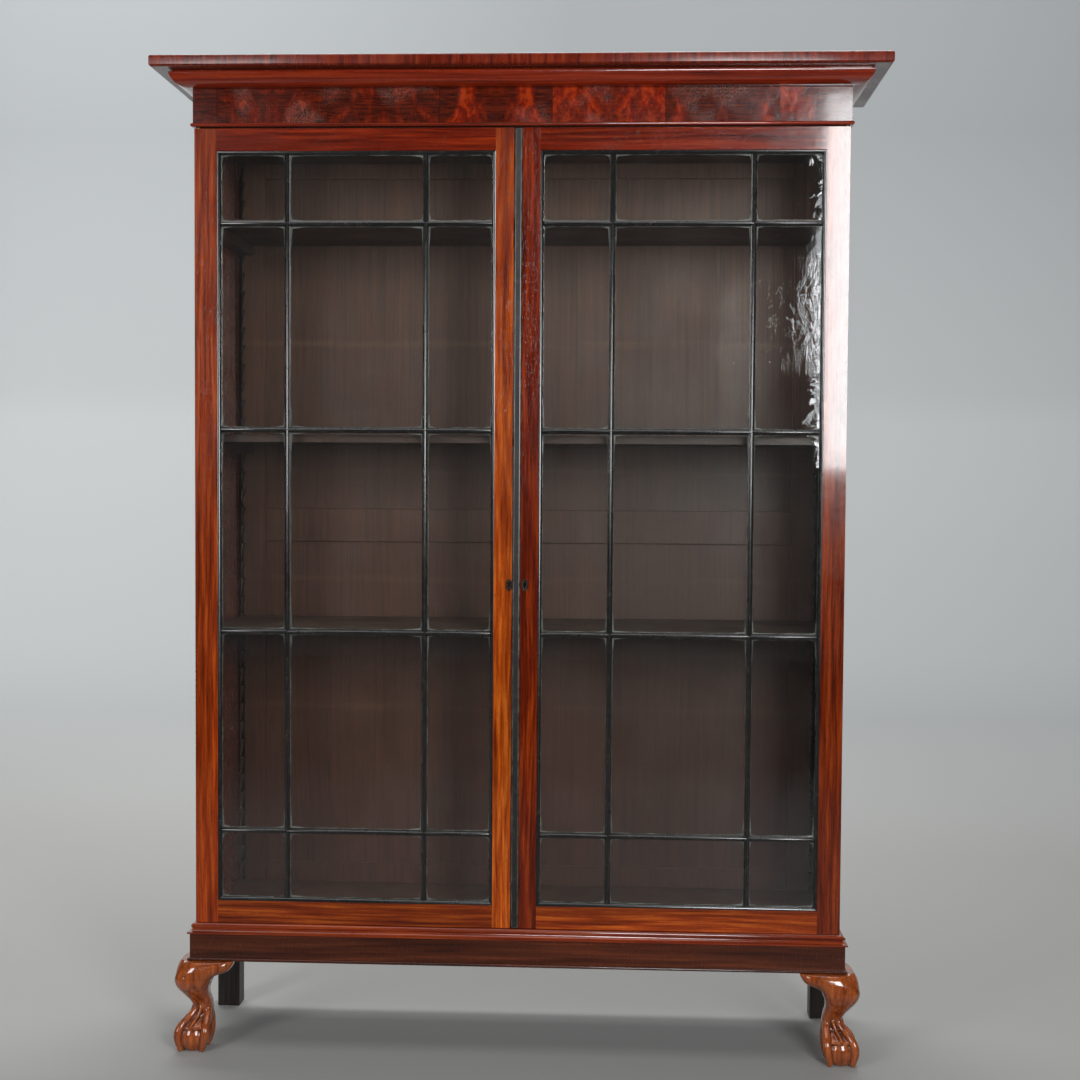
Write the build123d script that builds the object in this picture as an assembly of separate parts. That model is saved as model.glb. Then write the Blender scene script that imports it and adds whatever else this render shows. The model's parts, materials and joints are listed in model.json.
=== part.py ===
from build123d import *
import math
import os

# Glazed two-door bookcase with adjustable shelves, in millimetres.
# +X runs to the right as seen from the front, +Y to the back, +Z up.
# The origin is the middle of the footprint, on the floor.

# ---- driving dimensions -------------------------------------------------
CASE_WIDTH = 1260.0        # over the doors and the carcass sides
CASE_DEPTH = 326.0         # from the doors' front faces to the back
CORNICE_OUT = 70.0         # how far the cornice board stands out
OVERALL_HEIGHT = 1926.0
BOARD = 20.0               # carcass sides
PLINTH_BOARD = 22.0
PLINTH_OUT = 10.0          # plinth's face in front of the doors' faces
FRIEZE_OUT = 2.3
DOOR_THICKNESS = 22.0
DOOR_GAP = 1.2             # between the doors' backs and the carcass
RACK_PITCH = 38.1          # one and a half inches between shelf positions
SHELF_THICKNESS = 16.0
SHELF_STEPS = (0, 10, 21)   # rack steps of the three shelves above the lowest one

# ---- levels -------------------------------------------------------------
LEG_TOP = 176.0
PLINTH_TOP = 229.5
BASE_TOP = 249.0           # top of the moulded frame that the doors swing over
FLOOR_UNDER = 238.0
FLOOR_TOP = 258.0
DOOR_BOTTOM = 250.0
DOOR_TOP = 1800.0
TOP_UNDER = 1787.0
CARCASS_TOP = 1803.0
FRIEZE_TOP = 1876.0
BOARD_UNDER = 1904.0       # underside of the cornice board
LOWEST_LEDGE = 261.6       # first shelf position of the racks
LOWEST_SHELF = 815.0       # underside of the lowest shelf, level with a glazing bar

# ---- plan ---------------------------------------------------------------
HALF = CASE_WIDTH / 2
INNER = HALF - BOARD
OVERALL_DEPTH = CASE_DEPTH + CORNICE_OUT
FRONT = -OVERALL_DEPTH / 2 + CORNICE_OUT
BACK = FRONT + CASE_DEPTH
CARCASS_FRONT = FRONT + DOOR_THICKNESS + DOOR_GAP
BACK_FRAME = 16.0          # thickness of the framed back
BACK_FACE = BACK - BACK_FRAME

# ---- doors --------------------------------------------------------------
HINGE_STILE = 44.0
LEFT_DOOR_EDGE = -10.0     # free edge of the left door
STRIP_LEFT = -8.5          # ebonised meeting strip, carried by the right door
STRIP_RIGHT = 6.5
LEFT_OPENING = (-586.0, -45.0)
RIGHT_OPENING = (41.0, 586.0)
OPENING_BOTTOM = 294.0
OPENING_TOP = 1757.0
UPRIGHTS = (180.0, 449.5)              # bar centres from the middle of the case
CROSSES = (433.0, 826.0, 1220.0, 1618.5)
BEAD_WIDTH = 7.0
BAR_WIDTH = 11.0
RIB_WIDTH = 3.0
GLASS_FRONT = 9.0          # depth of the panes' front faces behind the doors' faces
GLASS_THICKNESS = 3.0
PANE_PLAY = 0.5
TENON_LENGTH = 25.0
TENON_THICKNESS = 8.0
TENON_SHOULDER = 6.0       # shoulder above and below a tenon

# ---- knife hinges -------------------------------------------------------
PIVOT_IN = 5.0             # pivot axis from the door's outer edge
PIVOT_Y = FRONT + DOOR_THICKNESS / 2
PIVOT_RADIUS = 3.0
PIVOT_PLAY = 0.05
PLATE_THICKNESS = 3.0
PLATE_LENGTH = 40.0
PLATE_WIDTH = 13.0

# ---- lock and bolts -----------------------------------------------------
LOCK_LEVEL = 922.0
KEYHOLE_X = 15.5           # keyholes from the middle of the case
SHOOT_BOLT_X = -27.5
SHOOT_BOLT_Y = FRONT + 29.0

PARTS = "parts"


def block(x0, x1, y0, y1, z0, z1):
    """A box given by its two opposite corners."""
    size = Box(x1 - x0, y1 - y0, z1 - z0)
    return Pos((x0 + x1) / 2, (y0 + y1) / 2, (z0 + z1) / 2) * size


def face_of(outline, place):
    """A flat face whose outline is straight runs (two points) and arcs (three points)."""
    edges = []
    for run in outline:
        points = [place(*point) for point in run]
        edges.append(Line(*points) if len(points) == 2 else ThreePointArc(*points))
    return make_face(edges)


def straight(*points):
    """Straight runs through the points, as an outline."""
    return [(a, b) for a, b in zip(points[:-1], points[1:])]


def upright_prism(points, low, high):
    """A prism on a plan outline between two levels."""
    outline = Polyline(*[(x, y, low) for x, y in points], close=True)
    return extrude(make_face(outline), amount=high - low, dir=(0, 0, 1))


def one(shape):
    """The single solid of a result."""
    return shape.solids()[0]


def save(name, *shapes):
    """Write one node, a single solid or a group of separate ones."""
    solids = [solid for shape in shapes for solid in shape.solids()]
    whole = solids[0] if len(solids) == 1 else Compound(children=solids)
    whole.label = name
    export_step(whole, os.path.join(PARTS, name + ".step"))


def mirrored(shape):
    """The same shape on the other side of the case."""
    return mirror(shape, about=Plane.YZ)


def round_the_case(outline, depth_in):
    """Front length and two returns of a moulding, mitred at the front corners.

    The outline's points are (distance out from the carcass faces, level).
    depth_in is how far the section reaches behind those faces."""
    far = 120.0
    levels = [z for run in outline for _, z in run]
    low, high = min(levels) - 1, max(levels) + 1
    front = extrude(face_of(outline, lambda out, z: (-HALF - far, FRONT - out, z)),
                    amount=2 * (HALF + far), dir=(1, 0, 0))
    side = extrude(face_of(outline, lambda out, z: (HALF + out, FRONT - far, z)),
                   amount=BACK - FRONT + far, dir=(0, 1, 0))
    front_mitre = upright_prism([(-HALF - far, FRONT - far), (HALF + far, FRONT - far),
                                 (HALF - depth_in, FRONT + depth_in),
                                 (-HALF + depth_in, FRONT + depth_in)], low, high)
    side_mitre = upright_prism([(HALF + far, FRONT - far), (HALF + far, BACK),
                                (HALF - depth_in, BACK), (HALF - depth_in, FRONT + depth_in)],
                               low, high)
    right = side & side_mitre
    return front & front_mitre, mirrored(right), right


# ---- carcass ------------------------------------------------------------

def carcass_side():
    """Right-hand side of the carcass."""
    return block(INNER, HALF, CARCASS_FRONT, BACK, PLINTH_TOP, CARCASS_TOP)


def shoot_bolt_hole(low, high):
    """Hole that the left door's bolt shoots into."""
    radius = 4.6
    return Pos(SHOOT_BOLT_X, SHOOT_BOLT_Y, (low + high) / 2) * Cylinder(radius, high - low)


def carcass_top():
    board = block(-INNER, INNER, CARCASS_FRONT, BACK, TOP_UNDER, CARCASS_TOP)
    return board - shoot_bolt_hole(TOP_UNDER - 1, TOP_UNDER + 14)


def carcass_bottom():
    board = block(-INNER, INNER, CARCASS_FRONT, BACK, FLOOR_UNDER, FLOOR_TOP)
    return board - shoot_bolt_hole(FLOOR_TOP - 14, FLOOR_TOP + 1)


def back_parts():
    """Framed back: stiles and muntin, rails, and panels held in grooves."""
    stile, muntin = 53.0, 48.0
    rails = ((FLOOR_TOP, 301.0), (990.0, 1060.0), (1755.0, TOP_UNDER))
    groove, panel_front, panel_back = 6.0, 6.0, 13.0
    uprights = [block(-INNER, -INNER + stile, BACK_FACE, BACK, FLOOR_TOP, TOP_UNDER),
                block(-muntin / 2, muntin / 2, BACK_FACE, BACK, FLOOR_TOP, TOP_UNDER),
                block(INNER - stile, INNER, BACK_FACE, BACK, FLOOR_TOP, TOP_UNDER)]
    bays = ((-INNER + stile, -muntin / 2), (muntin / 2, INNER - stile))
    cross = [block(x0, x1, BACK_FACE, BACK, z0, z1) for z0, z1 in rails for x0, x1 in bays]
    panels = []
    for (_, z0), (z1, _) in zip(rails[:-1], rails[1:]):
        for x0, x1 in bays:
            panels.append(block(x0 - groove, x1 + groove, BACK_FACE + panel_front,
                                BACK_FACE + panel_back, z0 - groove, z1 + groove))
    frame = []
    for piece in uprights + cross:
        for panel in panels:
            piece = piece - panel
        frame.append(one(piece))
    return frame, panels


# ---- shelves ------------------------------------------------------------

RACK_WIDTH = 22.0
RACK_THICKNESS = 10.0
NOTCH = 8.0
RACK_FRONTS = (FRONT + 30.0, BACK_FACE - RACK_WIDTH)
BEARER = 20.0
BEARER_WIDTH = 20.0
SHELF_FRONT = FRONT + 40.0


def rack(y0):
    """Left-hand sawtooth rack: level ledges with sloping teeth between them."""
    face = -INNER + RACK_THICKNESS
    points = [(-INNER, FLOOR_TOP), (face, FLOOR_TOP)]
    ledge = LOWEST_LEDGE
    while ledge + RACK_PITCH < TOP_UNDER:
        points += [(face, ledge), (face - NOTCH, ledge)]
        ledge += RACK_PITCH
    points += [(face, ledge), (face, TOP_UNDER), (-INNER, TOP_UNDER)]
    outline = Polyline(*[(x, y0, z) for x, z in points], close=True)
    return extrude(make_face(outline), amount=RACK_WIDTH, dir=(0, 1, 0))


def bearer(top):
    """Left-hand cleat whose ends lodge in the racks' notches under a shelf."""
    play = 0.2
    face = -INNER + RACK_THICKNESS
    low = top - BEARER
    deep = face - NOTCH + 2 * play
    slope = NOTCH * BEARER / RACK_PITCH
    points = [(face - NOTCH + 6.0, low), (deep, low), (deep + slope, top), (face - NOTCH + 6.0, top)]
    bar = block(face - NOTCH + 6.0, face - NOTCH + 6.0 + BEARER_WIDTH, RACK_FRONTS[0],
                RACK_FRONTS[1] + RACK_WIDTH, low, top)
    outline = Polyline(*[(x, RACK_FRONTS[0], z) for x, z in points], close=True)
    length = RACK_FRONTS[1] + RACK_WIDTH - RACK_FRONTS[0]
    return bar + extrude(make_face(outline), amount=length, dir=(0, 1, 0))


def shelf(under):
    """Shelf notched round the four racks."""
    play = 1.5
    side = INNER - 1.0
    board = block(-side, side, SHELF_FRONT, BACK_FACE - 1.0, under, under + SHELF_THICKNESS)
    for y0 in RACK_FRONTS:
        for sign in (-1, 1):
            x_in = sign * (INNER - RACK_THICKNESS - play)
            x_out = sign * (INNER + 1.0)
            board -= block(min(x_in, x_out), max(x_in, x_out), y0 - play, y0 + RACK_WIDTH + play,
                           under - 1, under + SHELF_THICKNESS + 1)
    return board


# ---- doors --------------------------------------------------------------

def mitred_frame(outline, x0, x1, z0, z1):
    """Four mitred lengths round an opening; outline points are (in from the edge, depth)."""
    reach = BEAD_WIDTH + 1.0
    lengths = []
    for name in ("bottom", "top", "left", "right"):
        if name in ("bottom", "top"):
            start, sign = (z0, 1) if name == "bottom" else (z1, -1)
            face = face_of(outline, lambda w, d: (x0, FRONT + d, start + sign * w))
            piece = extrude(face, amount=x1 - x0, dir=(1, 0, 0))
            corners = [(x0, start), (x1, start), (x1 - reach, start + sign * reach),
                       (x0 + reach, start + sign * reach)]
        else:
            start, sign = (x0, 1) if name == "left" else (x1, -1)
            face = face_of(outline, lambda w, d: (start + sign * w, FRONT + d, z0))
            piece = extrude(face, amount=z1 - z0, dir=(0, 0, 1))
            corners = [(start, z0), (start, z1), (start + sign * reach, z1 - reach),
                       (start + sign * reach, z0 + reach)]
        outline_xz = Polyline(*[(x, FRONT - 1, z) for x, z in corners], close=True)
        wedge = extrude(make_face(outline_xz), amount=DOOR_THICKNESS, dir=(0, 1, 0))
        lengths.append(one(piece & wedge))
    return lengths


def opening_bead(x0, x1):
    """Ebonised bead round the inside of a door frame, in front of the glass."""
    radius, top = BEAD_WIDTH - 2.0, 0.5
    corner = radius * (1 - math.sqrt(0.5))
    outline = straight((2, top), (0, top), (0, GLASS_FRONT), (BEAD_WIDTH, GLASS_FRONT),
                       (BEAD_WIDTH, top + radius))
    outline.append(((BEAD_WIDTH, top + radius), (BEAD_WIDTH - corner, top + corner), (2, top)))
    return mitred_frame(outline, x0, x1, OPENING_BOTTOM, OPENING_TOP)


def bar_outline():
    """Section of a glazing bar: half-round nose, two fillets, and the rib between the panes."""
    half, rib = BAR_WIDTH / 2, RIB_WIDTH / 2
    back = GLASS_FRONT + GLASS_THICKNESS + 7.0
    left = straight((-3.5, 5.5), (-half, 6.5), (-half, GLASS_FRONT), (-rib, GLASS_FRONT),
                    (-rib, back), (rib, back), (rib, GLASS_FRONT), (half, GLASS_FRONT),
                    (half, 6.5), (3.5, 5.5))
    return left + [((3.5, 5.5), (0, 1.5), (-3.5, 5.5))]


def glazing_bars(x0, x1, centres):
    """Uprights in one length each, and crosses scribed to them."""
    low, high = OPENING_BOTTOM + BEAD_WIDTH, OPENING_TOP - BEAD_WIDTH
    uprights = []
    for x in centres:
        face = face_of(bar_outline(), lambda w, d: (x + w, FRONT + d, low))
        uprights.append(extrude(face, amount=high - low, dir=(0, 0, 1)))
    stops = [x0 + BEAD_WIDTH] + list(centres) + [x1 - BEAD_WIDTH]
    crosses = []
    for z in CROSSES:
        for a, b in zip(stops[:-1], stops[1:]):
            face = face_of(bar_outline(), lambda w, d: (a, FRONT + d, z + w))
            piece = extrude(face, amount=b - a, dir=(1, 0, 0))
            for upright in uprights:
                piece = piece - upright
            crosses.append(max(piece.solids(), key=lambda solid: solid.volume))
    return uprights, crosses


def panes(x0, x1, centres):
    """Fifteen panes lying against the backs of the beads and bars."""
    clear = RIB_WIDTH / 2 + PANE_PLAY
    xs = [(x0 + PANE_PLAY, centres[0] - clear), (centres[0] + clear, centres[1] - clear),
          (centres[1] + clear, x1 - PANE_PLAY)]
    levels = [OPENING_BOTTOM + PANE_PLAY - clear] + list(CROSSES) + [OPENING_TOP - PANE_PLAY + clear]
    y0 = FRONT + GLASS_FRONT
    return [block(a, b, y0, y0 + GLASS_THICKNESS, c + clear, d - clear)
            for a, b in xs for c, d in zip(levels[:-1], levels[1:])]


def tenon(x0, x1, z0, z1):
    """Space of one tenon, in the middle of the door's thickness."""
    middle = FRONT + DOOR_THICKNESS / 2
    return block(x0, x1, middle - TENON_THICKNESS / 2, middle + TENON_THICKNESS / 2,
                 z0 + TENON_SHOULDER, z1 - TENON_SHOULDER)


def door_frame(outer, opening, meeting):
    """Two stiles and two rails with stub tenons; returns hinge stile, meeting stile, rails."""
    y0, y1 = FRONT, FRONT + DOOR_THICKNESS
    x0, x1 = opening
    low, high = min(outer, meeting), max(outer, meeting)
    stiles = [block(low, x0, y0, y1, DOOR_BOTTOM, DOOR_TOP),
              block(x1, high, y0, y1, DOOR_BOTTOM, DOOR_TOP)]
    rails = []
    for z0, z1 in ((DOOR_BOTTOM, OPENING_BOTTOM), (OPENING_TOP, DOOR_TOP)):
        left = tenon(x0 - TENON_LENGTH, x0, z0, z1)
        right = tenon(x1, x1 + TENON_LENGTH, z0, z1)
        stiles[0] -= left
        stiles[1] -= right
        rails.append(one(block(x0, x1, y0, y1, z0, z1) + left + right))
    hinge, free = (stiles[0], stiles[1]) if outer < meeting else (stiles[1], stiles[0])
    return hinge, free, rails


# ---- knife hinges -------------------------------------------------------

def screw(x, y, z, down):
    """Countersunk screw, its head's face at the given point."""
    shank, head = 1.6, 3.2
    body = Pos(0, 0, -6) * Cylinder(shank, 12) + Pos(0, 0, -0.9) * Cone(shank, head, 1.8)
    turned = body if down else Rot(180, 0, 0) * body
    return Pos(x, y, z) * turned


def hinge_set():
    """Right-hand knife hinges: case plates with their pins, door plates, screws and sockets."""
    x = HALF - PIVOT_IN
    x0, x1 = HALF - 2 - PLATE_LENGTH, HALF - 2
    y0, y1 = PIVOT_Y - PLATE_WIDTH / 2, PIVOT_Y + PLATE_WIDTH / 2
    case, door, case_screws, door_screws, sockets = [], [], [], [], []
    spacing = 10.0
    for level, edge, up in ((BASE_TOP, DOOR_BOTTOM, 1), (CARCASS_TOP, DOOR_TOP, -1)):
        inside = level - up * PLATE_THICKNESS
        plate = block(x0, x1, y0, y1, min(level, inside), max(level, inside))
        boss_end = edge - up * 0.2
        boss = Pos(x, PIVOT_Y, (level + boss_end) / 2) * Cylinder(4.6, abs(boss_end - level))
        tip = edge + up * 6.0
        pin = Pos(x, PIVOT_Y, (inside + tip) / 2) * Cylinder(PIVOT_RADIUS, abs(tip - inside))
        far = edge + up * PLATE_THICKNESS
        leaf = block(x0, x1, y0, y1, min(edge, far), max(edge, far))
        leaf -= Pos(x, PIVOT_Y, edge) * Cylinder(PIVOT_RADIUS + PIVOT_PLAY, 20)
        end = tip + up
        socket = Pos(x, PIVOT_Y, (edge + end) / 2) * Cylinder(PIVOT_RADIUS + 0.3, abs(end - edge))
        sockets.append(socket + block(x0, x1, y0, y1, min(edge, far), max(edge, far)))
        case_plate = plate + boss + pin
        for step in (spacing, 3 * spacing):
            into_case = screw(x0 + step - 4, PIVOT_Y, level, up > 0)
            into_door = screw(x0 + step - 4, PIVOT_Y, edge, up < 0)
            case_plate -= into_case
            leaf -= into_door
            case_screws.append(into_case)
            door_screws.append(into_door)
        case.append(case_plate)
        door.append(leaf)
    return case, door, case_screws, door_screws, sockets


# ---- lock, bolts and escutcheons ----------------------------------------

def keyhole(x, depth):
    """Round-topped keyhole running back from the door's face."""
    y0, y1 = FRONT - 2, FRONT + depth
    hole = Pos(x, (y0 + y1) / 2, LOCK_LEVEL + 2) * Rot(90, 0, 0) * Cylinder(2.6, y1 - y0)
    return hole + block(x - 1.1, x + 1.1, y0, y1, LOCK_LEVEL - 6, LOCK_LEVEL + 2)


def escutcheon(x):
    """Oval keyhole plate on the face of a meeting stile."""
    plate = Pos(x, FRONT - 0.6, LOCK_LEVEL) * Rot(90, 0, 0) * extrude(Ellipse(6.4, 11.5), 0.6, both=True)
    return plate - keyhole(x, 1)


LOCK_BOX = (9.5, 36.5, FRONT + 12.0, FRONT + DOOR_THICKNESS, LOCK_LEVEL - 32, LOCK_LEVEL + 32)
BOLT_Y = (FRONT + 14.0, FRONT + 20.0)
BOLT_Z = (LOCK_LEVEL - 7, LOCK_LEVEL + 7)


def lock_parts():
    """Lock case let into the back of the right door, and the bolt that slides in it."""
    play = 0.3
    bolt = block(STRIP_LEFT + 0.3, 26.0, *BOLT_Y, *BOLT_Z)
    way = block(STRIP_LEFT - 1, 27.0, BOLT_Y[0] - play, BOLT_Y[1] + play,
                BOLT_Z[0] - play, BOLT_Z[1] + play)
    case = block(*LOCK_BOX) - way - keyhole(KEYHOLE_X, 13)
    return case, bolt, way


def shoot_bolt(up):
    """Barrel bolt behind the left meeting stile: base plate with barrel, and its rod."""
    radius, play, length = 4.0, 0.08, 70.0
    end = TOP_UNDER if up > 0 else FLOOR_TOP
    near = end - up * 6
    far = near - up * length
    low, high = min(near, far), max(near, far)
    y_back = FRONT + DOOR_THICKNESS
    plate = block(SHOOT_BOLT_X - 9, SHOOT_BOLT_X + 9, y_back, y_back + 1.8, low - 4, high + 4)
    barrel = block(SHOOT_BOLT_X - 6.5, SHOOT_BOLT_X + 6.5, y_back + 1.8, SHOOT_BOLT_Y + 6, low, high)
    window = block(SHOOT_BOLT_X - 4.5, SHOOT_BOLT_X + 4.5, SHOOT_BOLT_Y, SHOOT_BOLT_Y + 7,
                   low + 14, high - 14)
    tip = end - up * 1.0
    tail = far + up * 6
    rod = Pos(SHOOT_BOLT_X, SHOOT_BOLT_Y, (tip + tail) / 2) * Cylinder(radius, abs(tip - tail))
    knob_level = far + up * 28
    knob = Pos(SHOOT_BOLT_X, SHOOT_BOLT_Y + 7, knob_level) * Rot(90, 0, 0) * Cylinder(2.5, 12)
    bore = Pos(SHOOT_BOLT_X, SHOOT_BOLT_Y, (low + high) / 2) * Cylinder(radius + play, high - low + 2)
    return (plate + barrel) - bore - window, rod + knob


# ---- cornice, base and legs ---------------------------------------------

def cornice_board():
    """Top board with rounded front and side edges."""
    out = CORNICE_OUT
    board = block(-HALF - out, HALF + out, FRONT - out, BACK, BOARD_UNDER, OVERALL_HEIGHT)
    ends = board.faces().filter_by(Axis.X)
    front = board.faces().sort_by(Axis.Y)[0:1]
    edges = [edge for face in list(ends) + list(front) for edge in face.edges()
             if abs(edge.tangent_at(0.5).Z) < 0.5 and edge.center().Y < BACK - 1]
    unique = []
    for edge in edges:
        if not any((edge.center() - other.center()).length < 0.01 for other in unique):
            unique.append(edge)
    return fillet(unique, 5.0)


def cornice_moulding():
    """Convex quarter-round under the cornice board, with a quirk above it."""
    face, top = FRIEZE_OUT, 1898.0
    outline = straight((face, FRIEZE_TOP), (5, FRIEZE_TOP))
    outline += [((5, FRIEZE_TOP), (29.7, 1882.4), (40, top))]
    outline += straight((40, top), (40, 1901), (34, 1901), (34, BOARD_UNDER), (face, BOARD_UNDER),
                        (face, FRIEZE_TOP))
    return round_the_case(outline, -face)


def frieze(cut_outs):
    """Frieze boards standing on the carcass: front, two returns and the back board."""
    face, behind = FRIEZE_OUT, PLINTH_BOARD - FRIEZE_OUT
    outline = straight((face, CARCASS_TOP), (face, BOARD_UNDER), (-behind, BOARD_UNDER),
                       (-behind, CARCASS_TOP), (face, CARCASS_TOP))
    boards = list(round_the_case(outline, behind))
    boards.append(block(-HALF + behind, HALF - behind, BACK - PLINTH_BOARD, BACK,
                        CARCASS_TOP, BOARD_UNDER))
    finished = []
    for board in boards:
        for cut in cut_outs:
            board = board - cut
        finished.append(board)
    return finished


def nosing(face, low, high, out):
    """Small bead with a round nose on a face, between two levels."""
    middle = (low + high) / 2
    neck = face + out - (high - low) / 2
    outline = straight((neck, high), (face, high), (face, low), (neck, low))
    outline.append(((neck, low), (face + out, middle), (neck, high)))
    return round_the_case(outline, -face)


def base_moulding():
    """Roll and cove round the foot of the carcass, on a bar that runs under the doors."""
    outline = [((4, BASE_TOP), (7.6, 244.5), (5.5, 240.0))]
    outline += straight((5.5, 240.0), (5.5, 239.4))
    outline += [((5.5, 239.4), (8.0, 234.6), (14.0, 232.5))]
    outline += straight((14.0, 232.5), (14.6, 232.5), (14.6, PLINTH_TOP), (0, PLINTH_TOP),
                        (0, BASE_TOP), (4, BASE_TOP))
    front, left, right = round_the_case(outline, 0)
    bar = block(-HALF, HALF, FRONT, CARCASS_FRONT - 0.2, PLINTH_TOP, BASE_TOP)
    return front + bar, left, right


def plinth():
    """Plinth frame: mitred front and sides, and a plain back."""
    face, behind = PLINTH_OUT, PLINTH_BOARD - PLINTH_OUT
    outline = straight((face, LEG_TOP), (face, PLINTH_TOP), (-behind, PLINTH_TOP),
                       (-behind, LEG_TOP), (face, LEG_TOP))
    back = block(-HALF + behind, HALF - behind, BACK - PLINTH_BOARD, BACK, LEG_TOP, PLINTH_TOP)
    return list(round_the_case(outline, behind)) + [back]


def corner_blocks():
    """Glue blocks in the plinth's corners and along its front."""
    side, low, high = 40.0, LEG_TOP, PLINTH_TOP - 1.5
    inner = HALF - (PLINTH_BOARD - PLINTH_OUT)
    front, back = FRONT + PLINTH_BOARD - PLINTH_OUT, BACK - PLINTH_BOARD
    blocks = []
    for sign in (-1, 1):
        a, b = sign * inner, sign * (inner - side)
        blocks.append(block(min(a, b), max(a, b), front, front + side, low, high))
        blocks.append(block(min(a, b), max(a, b), back - side, back, low, high))
    for x in (-300.0, 0.0, 300.0):
        blocks.append(block(x - 45, x + 45, front, front + 25, low, high))
    return blocks


def rounded_square(x, y, level, half, radius):
    """Rounded square section of a leg at a level."""
    return Plane((x, y, level)) * RectangleRounded(2 * half, 2 * half, radius)


def toe(centre, angle, reach, thickness):
    """One toe of the claw, curling down over the ball."""
    out = Vector(math.cos(math.radians(angle)), math.sin(math.radians(angle)), 0)

    def point(rise):
        turn = math.radians(rise)
        return centre + out * (reach * math.cos(turn)) + Vector(0, 0, reach * math.sin(turn))

    path = ThreePointArc(point(-30), point(20), point(72))
    return sweep(Plane(origin=path @ 0, z_dir=path % 0) * Circle(thickness), path=path)


def cabriole_leg():
    """Right front leg: projecting knee, slim ankle, and a claw over a flattened ball."""
    corner_x, corner_y = HALF + PLINTH_OUT, FRONT - PLINTH_OUT
    # level, shift of the centre in from the plinth's corner, half width
    stations = ((LEG_TOP, 21.5, 23.5), (168.0, 18.0, 30.0), (157.0, 12.0, 35.0), (142.0, 8.5, 37.5),
                (128.0, 6.5, 33.5), (112.0, 10.0, 26.5), (96.0, 17.5, 21.3), (80.0, 21.5, 19.0),
                (66.0, 21.0, 20.0), (44.0, 14.0, 24.0), (26.0, 7.0, 20.0))
    leg = loft([rounded_square(corner_x - shift, corner_y + shift, level, half, half * 0.55)
                for level, shift, half in stations])
    shift, middle, radius, toe_radius = 5.0, 27.0, 31.0, 8.5
    centre = Vector(corner_x - shift, corner_y + shift, middle)
    leg += Pos(*centre) * Sphere(radius)
    for angle in (-45, 45, 135, 225):
        leg += toe(centre, angle, radius - 1.5, toe_radius)
    return one(leg & block(0, HALF + 200, FRONT - 200, FRONT + 200, 0, LEG_TOP))


def bracket(leg):
    """Shaped ear beside a leg, running along the plinth's underside."""
    start, tip = HALF - 33.0, HALF - 77.0
    outline = [((start, 140.0), (start - 4.5, 148.6), (start - 14, 151.0))]
    outline += [((start - 14, 151.0), (tip + 8, 157.0), (tip, LEG_TOP))]
    outline += straight((tip, LEG_TOP), (start + 12, LEG_TOP), (start + 12, 140.0), (start, 140.0))
    face = face_of(outline, lambda x, z: (x, FRONT - 12.0, z))
    return max((extrude(face, amount=24.0, dir=(0, 1, 0)) - leg).solids(), key=lambda s: s.volume)


def side_bracket(leg):
    """The same ear turned along the case's side."""
    corner = Plane((HALF + PLINTH_OUT, FRONT - PLINTH_OUT, 0), x_dir=(1, 1, 0), z_dir=(1, -1, 0))
    return mirror(bracket(leg), about=Plane(corner.origin, x_dir=(0, 0, 1), z_dir=(1, 1, 0)))


def back_leg():
    """Plain square back leg."""
    side, outer, behind = 46.0, HALF + 19.0, BACK - PLINTH_BOARD
    return block(outer - side, outer, behind - side, behind, 0, LEG_TOP)


# ---- assembly -----------------------------------------------------------

def write_carcass():
    side = carcass_side()
    save("side_right", side)
    save("side_left", mirrored(side))
    save("carcass_top", carcass_top())
    save("carcass_bottom", carcass_bottom())
    frame, panels = back_parts()
    save("back_frame", *frame)
    save("back_panels", *panels)
    left_racks = [rack(y0) for y0 in RACK_FRONTS]
    save("shelf_racks", *left_racks, *[mirrored(piece) for piece in left_racks])
    for number, step in enumerate(SHELF_STEPS, start=1):
        under = LOWEST_SHELF + step * RACK_PITCH
        save(f"shelf_{number}", shelf(under))
        cleat = bearer(under)
        save(f"bearer_{number}_left", cleat)
        save(f"bearer_{number}_right", mirrored(cleat))


def write_cornice_and_base(case_plates, case_screws):
    cuts = case_plates + case_screws
    save("cornice_board", cornice_board())
    save("cornice_moulding", *cornice_moulding())
    save("frieze", *frieze(cuts))
    save("frieze_bead", *nosing(FRIEZE_OUT, CARCASS_TOP, CARCASS_TOP + 7, 4.2))
    front, left, right = base_moulding()
    for cut in cuts:
        front = front - cut
    save("base_moulding", front, left, right)
    save("plinth", *plinth())
    save("plinth_bead", *nosing(PLINTH_OUT, LEG_TOP, LEG_TOP + 6, 4.6))
    save("corner_blocks", *corner_blocks())
    leg = cabriole_leg()
    save("leg_front_right", leg)
    save("leg_front_left", mirrored(leg))
    ears = [bracket(leg), side_bracket(leg)]
    save("leg_brackets", *ears, *[mirrored(ear) for ear in ears])
    save("leg_back_right", back_leg())
    save("leg_back_left", mirrored(back_leg()))


def write_door(side, outer, opening, meeting, centres, plates, screws, sockets, cuts):
    """One door: frame, bead, bars, panes and its hinge plates."""
    hinge, free, rails = door_frame(outer, opening, meeting)
    for cut in sockets + screws:
        hinge = hinge - cut
        rails = [rail - cut for rail in rails]
    for cut in cuts:
        free = free - cut
    save(f"{side}_hinge_stile", hinge)
    save(f"{side}_meeting_stile", free)
    save(f"{side}_rails", *rails)
    save(f"{side}_opening_bead", *opening_bead(*opening))
    uprights, crosses = glazing_bars(*opening, centres)
    save(f"{side}_upright_bars", *uprights)
    save(f"{side}_cross_bars", *crosses)
    save(f"{side}_panes", *panes(*opening, centres))
    save(f"{side}_hinge_plates", *plates)
    save(f"{side}_hinge_screws", *screws)


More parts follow.
